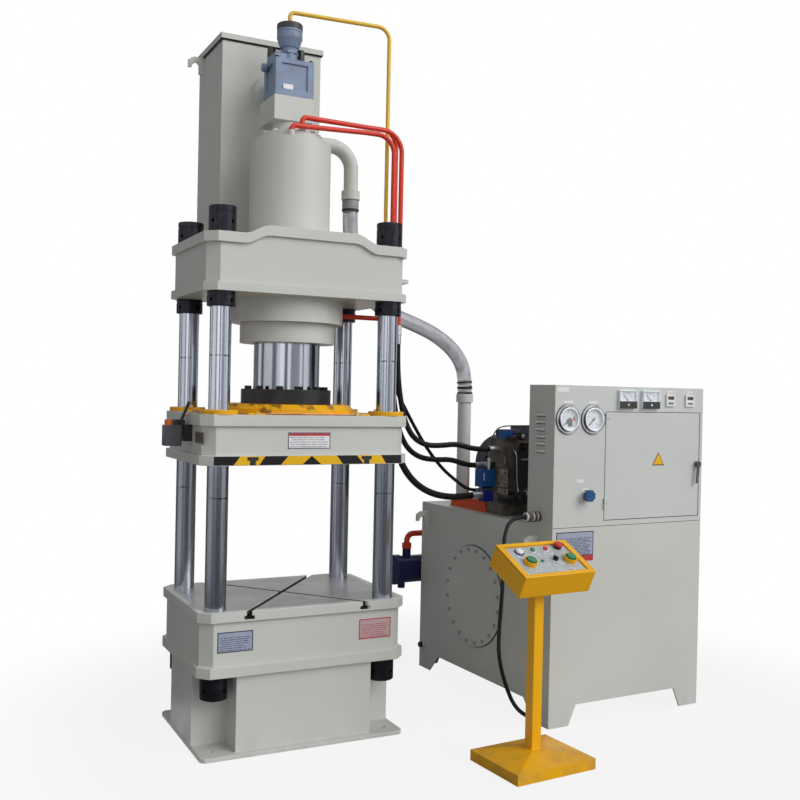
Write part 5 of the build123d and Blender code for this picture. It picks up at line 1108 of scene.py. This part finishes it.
class PRESS_OT_cylinder(bpy.types.Operator):
    """Cylinder, gland, filling valve and the tank behind them"""
    bl_idname = "press.cylinder"
    bl_label = "Cylinder and filling tank"

    def execute(self, context):
        edge = sizes().plate_edge
        dress({
            "cylinder_barrel": ("machine_cream", edge),
            "cylinder_head": ("machine_cream", 0.003),
            "gland_ring": ("machine_cream", edge),
            "valve_adapter": ("machine_cream", edge),
            "filling_valve": ("valve_grey", edge),
            "filling_tank": ("machine_cream", edge),
            "filling_tank_lid": ("machine_cream", 0.0015),
        })
        self.valve_bowl()
        self.head_bolts()
        self.valve_parts()
        return {"FINISHED"}

    def valve_bowl(self):
        """Cup with a flared neck under its black screwed cap."""
        shape = Shape("valve_grey", "instrument_black")
        shape.lathe((0, VALVE_Y, VALVE_TOP), [
            (50, 0), (50, 10), (40, 14), (37, 22), (37, 62), (40, 72), (46, 76), (56, 104),
            (60, 116), (62, 120), (62, 138), (60.5, 140), (60.5, 148), (62, 150), (62, 161)],
            sides=64)
        shape.use("instrument_black")
        cap = (0, VALVE_Y, CAP_BOTTOM)
        shape.lathe(cap, [(60, 0), (62, 2), (62, 26), (59, 30)], sides=64)
        for i in range(24):
            shape.lathe(around(cap, 61.2, 2, tau * i / 24, "z"), [(1.6, 0), (1.6, 22)], sides=8)
        shape.use("valve_grey")
        shape.lathe((0, VALVE_Y, VALVE_TOP), [(46, 46), (46, 56)], sides=6)
        shape.done("pilot_cup", "frame", width=0.0008, replaces=["valve_bowl"])

    def head_bolts(self):
        """Bolts of the cylinder's head and of the filling valve's upper flange."""
        shape = Shape("black_nut", "machine_cream")
        shape.use("machine_cream")
        for bearing in (0, 32, 148, 180, 214, 246, 300, 330):
            a = radians(bearing)
            shape.hexagon(around((0, 0, HEAD_TOP), 130, 0, a, "z"), 14, 0, 11, turn=a)
        shape.use("black_nut")
        for x in (-86, 86):
            for y in (VALVE_Y - 68, VALVE_Y + 68):
                shape.lathe((x, y, VALVE_TOP), [(9, 0), (9, 9), (8, 10)], sides=24)
        shape.done("head_bolts", "frame", width=0.0006)

    def valve_parts(self):
        """Pilot plugs on the filling valve, its bare plate and a dark strip under the tank lid,
        a painted shadow.
        """
        plugs = Shape("instrument_black", "label_white")
        plugs.lathe((-72, 104, 3192), [(20, 0), (20, 78), (17, 84)], sides=32)
        plugs.block(-64, -18, 92, 124, 3192, 3262)
        plugs.lathe((80, 104, 3192), [(9, 0), (9, 44), (19, 45), (19, 92), (16, 97)], sides=32)
        plugs.use("label_white").block(-58, -8, -35.9, -34.6, 3048, 3071)
        plugs.done("valve_plugs", "frame", width=0.0008)
        # Dark strip just under the tank lid: painted shadow under the lid's edge
        lid_shadow = Shape("gasket").border(-266, 266, 285, 713, 3342, 3350, 6, 6)
        lid_shadow.done("tank_lid_seal", "frame")


class PRESS_OT_pipes(bpy.types.Operator):
    """Red pressure pipes and the yellow pilot pipe"""
    bl_idname = "press.pipes"
    bl_label = "Steel pipes"

    def execute(self, context):
        remake("red_pipes", "pressure_pipes", self.red_or_steel, width=0.0004)
        remake("yellow_pipe", "pilot_pipe", self.yellow_or_steel, width=0.0003)
        return {"FINISHED"}

    def red_or_steel(self, centre, facing):
        """Cream where a pipe enters the cylinder, bare at the couplings of the hoses."""
        for x, y, top in ((-61.7, -169.5, 2820), (8.5, -121.7, 2854)):
            if centre.z < top and near(centre, x, y, 18):
                return "machine_cream"
        return "shaft_steel" if centre.z < FERRULE_TOP else "pipe_red"

    def yellow_or_steel(self, centre, facing):
        return "shaft_steel" if centre.z < FERRULE_TOP else "pipe_yellow"


class PRESS_OT_grease_pump(bpy.types.Operator):
    """Hand grease pump on the slide's left side"""
    bl_idname = "press.grease_pump"
    bl_label = "Grease pump"

    def execute(self, context):
        remake("grease_pump", "grease_pump_dressed", self.which, width=0.0008)
        dress({"grease_lever": ("instrument_black", 0.0006)})
        return {"FINISHED"}

    def which(self, centre, facing):
        """Orange cap, see-through cup left of the body, black body."""
        if centre.z > CUP_TOP:
            return "cap_orange" if near(centre, *CUP_CAP, 20) else "instrument_black"
        clear = centre.x < CUP_RIGHT and centre.z < CUP_TOP
        return "reservoir_clear" if clear else "instrument_black"


class PRESS_OT_power_unit(bpy.types.Operator):
    """Oil tank, manhole, motor, pump, valves, stand pipe and cooler"""
    bl_idname = "press.power_unit"
    bl_label = "Power unit"

    def execute(self, context):
        edge = sizes().plate_edge
        dress({
            "oil_tank": ("machine_cream", edge),
            "manhole_lid": ("machine_cream", 0.0015),
            "manhole_bolts": ("sleeve_grey", 0.0006),
            "motor_body": ("motor_grey", 0.001),
            "motor_rotor": ("shaft_steel", 0.0),
            "hydraulic_pump": ("motor_grey", 0.0015),
            "unit_base": ("base_orange", 0.002),
            "stand_pipe": ("machine_cream", 0.0015),
        })
        remake("valve_manifold", "valve_block", self.block_finish, UNIT, 0.001)
        remake("control_valves", "coil_valves", self.valve_finish, UNIT, 0.001)
        remake("oil_cooler", "cooler", self.cooler_finish, UNIT, 0.001)
        self.block_details()
        self.tank_details()
        sign("tank_plate", "frame", UNIT, "y", 0.0, (23, 253), (832, 951),
             "label_blue", "label_dark", 12)
        sign("tank_plate_foot", "frame", UNIT, "y", 0.0, (23, 253), (805, 832),
             "label_red", "label_red", 0)
        return {"FINISHED"}

    def block_finish(self, centre, facing):
        """Bare couplings stand out of the block's face."""
        return "shaft_steel" if centre.x < BLOCK_FACE else "manifold_steel"

    def valve_finish(self, centre, facing):
        """Steel up by the cabinet, a blue coil on the block's face, black for the rest."""
        if centre.y < RELIEF_END:
            return "manifold_steel"
        coil = centre.x < COIL_FACE and centre.y > COIL_START
        return "valve_blue" if coil else "instrument_black"

    def block_details(self):
        """Cover plates, coils, elbow, plugs and leads on the valve block, and a black block
        beside them that is painted shade.
        """
        shape = Shape("plate_steel", "manifold_steel", "valve_blue", "deep_blue",
                      "instrument_black", "shaft_steel", "label_white")
        shape.use("plate_steel").block(53, 60.5, 468, 552, 1126, 1218)
        shape.block(53, 60.5, 462, 550, 1062, 1117)
        shape.use("manifold_steel").lathe((60.5, 524, 1262), [(38, -9), (42, -6), (42, 0)], "x")
        shape.use("instrument_black")
        for y, z in ((482, 1140), (538, 1140), (482, 1204), (538, 1204),
                     (476, 1106), (536, 1074)):
            shape.lathe((53.5, y, z), [(5, -4), (6, -2), (6, 0)], "x", 20)
        shape.lathe((22, 464, 1067), [(14, -9), (24, -8), (24, 8)], "x", 32)
        shape.lathe((139, 470, 1396), [(17, -26), (24, -22), (24, 0)], "y", 32)
        shape.lathe((88, 500, 1388), [(10, -58), (15, -54), (15, 0)], "y", 32)
        shape.block(45, 60, 586, 604, 1222, 1252)
        # Black block that stands for the shaded pump and hoses behind: painted shade
        shape.block(128, 236, 474, 491, 1120, 1322)
        shape.use("shaft_steel").lathe((139, 446, 1396), [(9, -4), (11, -2), (11, 4)], "y", 24)
        shape.hexagon((168, 476, 1096), 15, -26, 14, "y")
        shape.block(146, 226, 466, 475, 1268, 1276)
        shape.use("valve_blue").block(62, 122, 500, 566, 1380, 1423)
        shape.block(-22, 58, 588, 658, 1118, 1212)
        shape.use("deep_blue").block(-38, 22, 544, 600, 1046, 1102)
        shape.use("label_white").lathe((31, 604, 1210), [(7, 0), (7, 52), (9, 54), (9, 62)],
                                       sides=24)
        for x in (-12, 10):
            shape.block(x, x + 5, 586.8, 588.5, 1154, 1194)
        shape.done("block_details", "frame", UNIT, 0.0012)
        leads = {
            "arch": [(330, 206, 1462), (322, 300, 1466), (278, 470, 1454), (200, 556, 1447),
                     (110, 560, 1448), (52, 560, 1436), (20, 560, 1392), (12, 560, 1350),
                     (18, 560, 1322)],
            "front": [(56, 500, 1316), (54, 482, 1300), (66, 476, 1240), (78, 468, 1160),
                      (86, 438, 1104), (106, 430, 1056), (132, 430, 1018), (146, 440, 974)],
            "cross": [(14, 546, 1094), (10, 500, 1094), (40, 446, 1084), (82, 432, 1062),
                      (114, 430, 1036), (142, 436, 996)],
            "loop": [(120, 488, 1180), (112, 472, 1170), (94, 456, 1130), (96, 432, 1088),
                     (120, 430, 1044), (132, 436, 1000)],
        }
        for name, points in leads.items():
            small_pipe(f"valve_lead_{name}", "frame", points, 0.0034, "instrument_black", UNIT)
        small_pipe("pilot_tube", "frame", [(112, 490, 1318), (116, 474, 1312), (119, 470, 1250),
                                           (119, 468, 1120), (119, 438, 1076)],
                   0.0028, "shaft_steel", UNIT)

    def tank_details(self):
        """Gasket round the manhole's cover and the drain's black cap."""
        shape = Shape("gasket", "instrument_black")
        shape.ring(MANHOLE, 274, 269.5, -4, 0.2, "x", 96)
        shape.use("instrument_black").lathe((-26, 1205, 136), [(14, -4), (16.5, -2), (16.5, 12)],
                                            "x", 32)
        shape.done("tank_details", "frame", UNIT)

    def cooler_finish(self, centre, facing):
        """Red pipe over the blue shell."""
        pipe = centre.z > COOLER_TOP and centre.y > COOLER_PIPES
        return "pipe_red" if pipe else "cooler_blue"


class PRESS_OT_cabinet(bpy.types.Operator):
    """Control cabinet with its door, gauges, meters, timers and labels"""
    bl_idname = "press.cabinet"
    bl_label = "Control cabinet"

    def execute(self, context):
        dress({
            "cabinet_shell": ("cabinet_grey", 0.0012),
            "door_handle": ("dark_chrome", 0.001),
            "switchgear": ("switchgear_grey", 0.001),
            "relief_knob": ("knob_blue", 0.0012),
            "gauge_needle_left": ("needle_black", 0.0),
            "gauge_needle_right": ("needle_black", 0.0),
            "meter_needle_left": ("needle_black", 0.0),
            "meter_needle_right": ("needle_black", 0.0),
        })
        dress({"cabinet_door": ("cabinet_grey", 0.0012)}, flats=True)
        remake("pressure_gauges", "gauge_cases", self.gauge_finish, UNIT, 0.001)
        remake("panel_instruments", "meter_cases", self.meter_finish, UNIT, 0.0008)
        self.dials()
        self.meters()
        self.labels()
        return {"FINISHED"}

    def gauge_finish(self, centre, facing):
        if facing.y < -0.9 and -6 < centre.y < -4:
            return "dial_white"
        return "instrument_black" if centre.y > 0.1 else "instrument_chrome"

    def meter_finish(self, centre, facing):
        if centre.y > 0.1:
            return "instrument_black"
        if centre.x <= TIMERS_START:
            return "dial_white"
        light = centre.y < -8.5 or abs(facing.y) < 0.5
        return "label_white" if light else "instrument_black"

    def dials(self):
        """Scales, numbers, panes and flanges of the two pressure gauges."""
        for (side, x), top in zip(GAUGES.items(), (60, 40)):
            middle = (x, 0, GAUGE_Z)
            scale = Shape("dial_mark", "dial_red")
            for i in range(41):
                long = 0 if i % 5 else 1
                tick(scale, x, GAUGE_Z, 225 - 270 * i / 40,
                     45.5 - 3.2 * (1 + long), 45.5, 0.45 + 0.25 * long, -5.5, -4.8)
            if side == "left":
                scale.use("dial_red")
                for a in (60, -12):
                    tick(scale, x, GAUGE_Z, a, 20, 44, 1.1, -5.5, -4.8)
                scale.lathe((x + 33, -6.6, 1503), [(9, 0), (9, 1.5)], "y", 24)
            scale.done(f"gauge_scale_{side}", "frame", UNIT)
            if side == "left":
                contacts = Shape("instrument_black")
                contacts.lathe((x + 5, -7, 1490), [(17, 0), (17, 1.6), (14, 2.2)], "y", 32)
                contacts.block(x - 3, x + 22, -7.2, -5, 1466, 1490)
                contacts.done("gauge_contacts", "frame", UNIT)
            dial_numbers(f"gauge_number_{side}", [i * top // 4 for i in range(5)], 0.0085,
                         (x, -5.3, GAUGE_Z), 33, 225, 270)
            pane = Shape("pane").lathe(middle, [(50, -16.4), (50, -15.4)], "y", 64)
            pane.done(f"gauge_pane_{side}", "frame", UNIT)
            flange = Shape("gauge_chrome", "instrument_black")
            flange.ring(middle, 73, 61, -7, -0.3, "y", 72)
            flange.use("instrument_black").ring(middle, 75, 73, -3, -0.3, "y", 72)
            flange.ring(middle, 61.2, 58, -5, -0.3, "y", 72)
            flange.use("gauge_chrome")
            for i in range(3):
                flange.lathe(around(middle, 67, -7.4, radians(90 + 120 * i), "y"),
                             [(2.6, -1.2), (3, -0.4), (3, 1)], "y", 16)
            flange.done(f"gauge_flange_{side}", "frame", UNIT, 0.0028, segments=3)

    def meters(self):
        """Arcs, lower covers and panes of the two meters, and the timers' windows."""
        for side, x in METERS.items():
            scale = Shape("dial_mark")
            for i in range(21):
                tick(scale, x, METER_Z, 135 - 90 * i / 20,
                     37, 40 if i % 5 else 42.4, 0.35, -7.4, -6.8)
            scale.done(f"meter_scale_{side}", "frame", UNIT)
            cover = Shape("instrument_black", "shaft_steel", "dial_white")
            cover.block(x - 56.2, x + 56.2, -18.2, -15.5, 1558, 1594)
            cover.use("dial_white")
            for x0, x1, z0, z1 in ((-56, -50, 1594, 1650), (50, 56, 1594, 1650),
                                   (-50, 50, 1644, 1650)):
                cover.block(x + x0, x + x1, -16.6, -15.2, z0, z1)
            cover.use("shaft_steel").lathe((x, -19, 1576), [(5, 0), (6, 0.8)], "y", 24)
            cover.done(f"meter_cover_{side}", "frame", UNIT, 0.0008)
            pane = Shape("pane").block(x - 50, x + 50, -15.4, -14.4, 1594, 1644)
            pane.done(f"meter_pane_{side}", "frame", UNIT)
            dial_numbers(f"meter_number_{side}", (0, 50, 100), 0.0075,
                         (x, -7.3, METER_Z), 31, 135, 90)
        timers = Shape("instrument_black", "label_grey", "label_red")
        for x in TIMERS:
            timers.use("instrument_black").block(x - 20, x + 20, -9.6, -6.5, 1608, 1622)
            timers.use("label_grey").block(x - 18, x + 18, -9.8, -8.8, 1582, 1592)
            timers.use("label_red").block(x - 15, x - 6, -9.9, -9.2, 1612, 1618)
        timers.done("timer_windows", "frame", UNIT, 0.0004)

    def labels(self):
        """Bare white strips over the instruments and a bare yellow triangle on the door."""
        shape = Shape("label_white")
        for x0, x1, z0, z1 in ((10, 82, 1634, 1656), (52, 108, 1577, 1591),
                               (206, 262, 1577, 1591), (722, 762, 1642, 1652),
                               (856, 898, 1642, 1652), (138, 184, 1190, 1206)):
            shape.block(x0, x1, -0.9, 0.3, z0, z1)
        shape.done("cabinet_strips", "frame", UNIT)
        warning = Shape("hazard_black", "hazard_yellow")
        x, z = 668, 1293
        for name, h, depth in (("hazard_black", 40, -1.7), ("hazard_yellow", 33.6, -1.95)):
            foot = z - h * 0.72 + 3
            warning.use(name).prism([(x - h, foot), (x + h, foot), (x, z + h * 1.06)],
                                    -0.8, depth)
        warning.done("door_triangle", "cabinet_door", UNIT)
        # Each louvre: a dark strip in its opening, painted shade, under a hood painted paler
        # than the cabinet, a painted highlight
        louvre_shading_and_seams = Shape("gasket", "louvre_light")
        for i in range(6):
            z = LOUVRE_TOP - LOUVRE_STEP * i
            louvre_shading_and_seams.use("gasket").block(-0.8, 0.3, 74, 144, z - 13, z - 8.4)
            louvre_shading_and_seams.use("louvre_light").skin([
                [(0.2, y, z - 8.8), (-10, y, z - 8.8), (-8.2, y, z + 1), (0.2, y, z + 9)]
                for y in (73, 145)])
        # Dark seams round the door and between cabinet and tank; the door's right and bottom
        # seams are wider, painted shade along those edges
        for x0, x1, z0, z1 in ((952.5, 957, 998, 1541), (315, 957, 997.5, 1000.5),
                               (315, 957, 1538.5, 1541), (315, 317.5, 998, 1541),
                               (0, 976, 970.8, 973)):
            louvre_shading_and_seams.use("gasket").block(x0, x1, -0.5, 0.3, z0, z1)
        louvre_shading_and_seams.done("cabinet_seams", "frame", UNIT)
        self.connector()

    def connector(self):
        """Knurled cable connector and the white ring round the relief knob."""
        gland = Shape("manifold_steel", "gasket", "label_white")
        for x0, x1, r, count in ((-20, -4, 25, 6), (-44, -26, 24, 26), (-80, -50, 23.5, 22)):
            gland.use("manifold_steel").lathe(
                CONNECTOR, [(r - 2.5, x0), (r, x0 + 2), (r, x1 - 2), (r - 2.5, x1)], "x", 36)
            for i in range(count):
                gland.lathe(around(CONNECTOR, r, 0, tau * i / count, "x"),
                            [(1.3, x0 + 2.5), (1.9, x0 + 4), (1.9, x1 - 4), (1.3, x1 - 2.5)],
                            "x", 8)
        gland.use("gasket").lathe(CONNECTOR, [(20, -50), (20, -44)], "x", 36)
        gland.lathe(CONNECTOR, [(11, -92), (17, -86), (19, -78)], "x", 32)
        gland.use("label_white").ring(KNOB, 34, 26, -3, 0.2, "y", 48)
        gland.done("cable_connector", "frame", UNIT, 0.0005)


class PRESS_OT_pedestal(bpy.types.Operator):
    """Control pedestal with its console, buttons, lamps and label strips"""
    bl_idname = "press.pedestal"
    bl_label = "Control pedestal"

    def execute(self, context):
        dress({
            "pedestal_stand": ("safety_yellow", 0.003),
            "console_box": ("safety_yellow", 0.0025),
            "start_button": ("button_green", 0.0006),
            "stop_button": ("button_red", 0.0006),
            "emergency_button": ("button_red", 0.0006),
            "palm_button_left": ("button_green", 0.0006),
            "palm_button_right": ("button_green", 0.0006),
            "mode_selector": ("selector_black", 0.0008),
        })
        remake("console_plate", "console_face", self.plate_finish, CONSOLE, 0.0006)
        self.details()
        return {"FINISHED"}

    def plate_finish(self, centre, facing):
        if centre.z < 0.2:
            return "panel_silver"
        for name, x, y, radius in (
                ("lamp_white", *LAMP, 18), ("button_green", -26, -11, 18),
                ("safety_yellow", -100, -20, 36), ("safety_yellow", 120, -20, 36),
                ("instrument_black", 120, 76, 26)):
            if near(centre, x, y, radius):
                return name
        return "instrument_chrome"

    def details(self):
        """Raised rim, lamp, rings, label strips and screws of the console."""
        rim = Shape("safety_yellow").border(-192.5, 192.5, -121.5, 121.5, -0.5, 7, 27.5, 21.5)
        rim.done("console_rim", "frame", CONSOLE, 0.002)
        lamp = Shape("lamp_white", "deep_blue", "label_white")
        lamp.use("deep_blue").lathe((*LAMP, 0), [(23, -0.4), (23, 3), (21, 4.5)])
        lamp.use("lamp_white").lathe((*LAMP, 0), [(18.5, 3.5), (18.5, 9), (15, 13), (8, 15)])
        for x, y in ((-28, 68), (45, 70)):
            lamp.use("label_white").ring((x, y, 0), 19, 15.5, -0.4, 2.2)
        lamp.done("console_lamp", "frame", CONSOLE, 0.0005)
        shape = Shape("label_white", "label_dark")
        for x, y, w in ((-103, 30, 46), (-28, 40, 46), (45, 42, 46), (-26, -34, 46),
                        (46, -36, 50), (-100, -66, 62), (120, -66, 62), (60, -84, 90)):
            shape.use("label_white").block(x - w / 2, x + w / 2, y - 6, y + 6, -0.2, 0.5)
            shape.use("label_dark").block(x - w / 2 + 5, x + w / 2 - 5, y - 2.2, y + 2.2,
                                          0.4, 0.7)
        shape.done("console_strips", "frame", CONSOLE)
        screws = Shape("instrument_chrome")
        for x in (-155, 155):
            for y in (-90, 90):
                screws.lathe((x, y, -0.2), [(4.2, 0), (4.2, 1.2), (3, 2.2)], "z", 20)
        screws.done("console_screws", "frame", CONSOLE)
        Shape("label_white").block(44.8, 47.2, -9, 3, 20.8, 21.3).done(
            "selector_mark", "mode_selector", CONSOLE)


OPERATORS = (
    PRESS_OT_stage, PRESS_OT_cords, PRESS_OT_frame, PRESS_OT_slide, PRESS_OT_cylinder,
    PRESS_OT_pipes, PRESS_OT_grease_pump, PRESS_OT_power_unit, PRESS_OT_cabinet,
    PRESS_OT_pedestal,
)


class PRESS_PT_panel(bpy.types.Panel):
    """Sidebar panel with the press's settings and its operators"""
    bl_label = "Hydraulic press"
    bl_idname = "PRESS_PT_panel"
    bl_space_type = "VIEW_3D"
    bl_region_type = "UI"
    bl_category = "Press"

    def draw(self, context):
        for group in (context.scene.press_colours, context.scene.press_sizes):
            column = self.layout.column(align=True)
            for setting in group.__annotations__:
                column.prop(group, setting)
        for operator in OPERATORS:
            self.layout.operator(operator.bl_idname)


CLASSES = (PressColours, PressSizes, *OPERATORS, PRESS_PT_panel)


def register():
    for made in CLASSES:
        bpy.utils.register_class(made)
    bpy.types.Scene.press_colours = bpy.props.PointerProperty(type=PressColours)
    bpy.types.Scene.press_sizes = bpy.props.PointerProperty(type=PressSizes)


def unregister():
    del bpy.types.Scene.press_sizes
    del bpy.types.Scene.press_colours
    for made in reversed(CLASSES):
        bpy.utils.unregister_class(made)


def main():
    register()
    for operator in OPERATORS:
        group, name = operator.bl_idname.split(".")
        getattr(getattr(bpy.ops, group), name)()


if __name__ == "__main__":
    main()
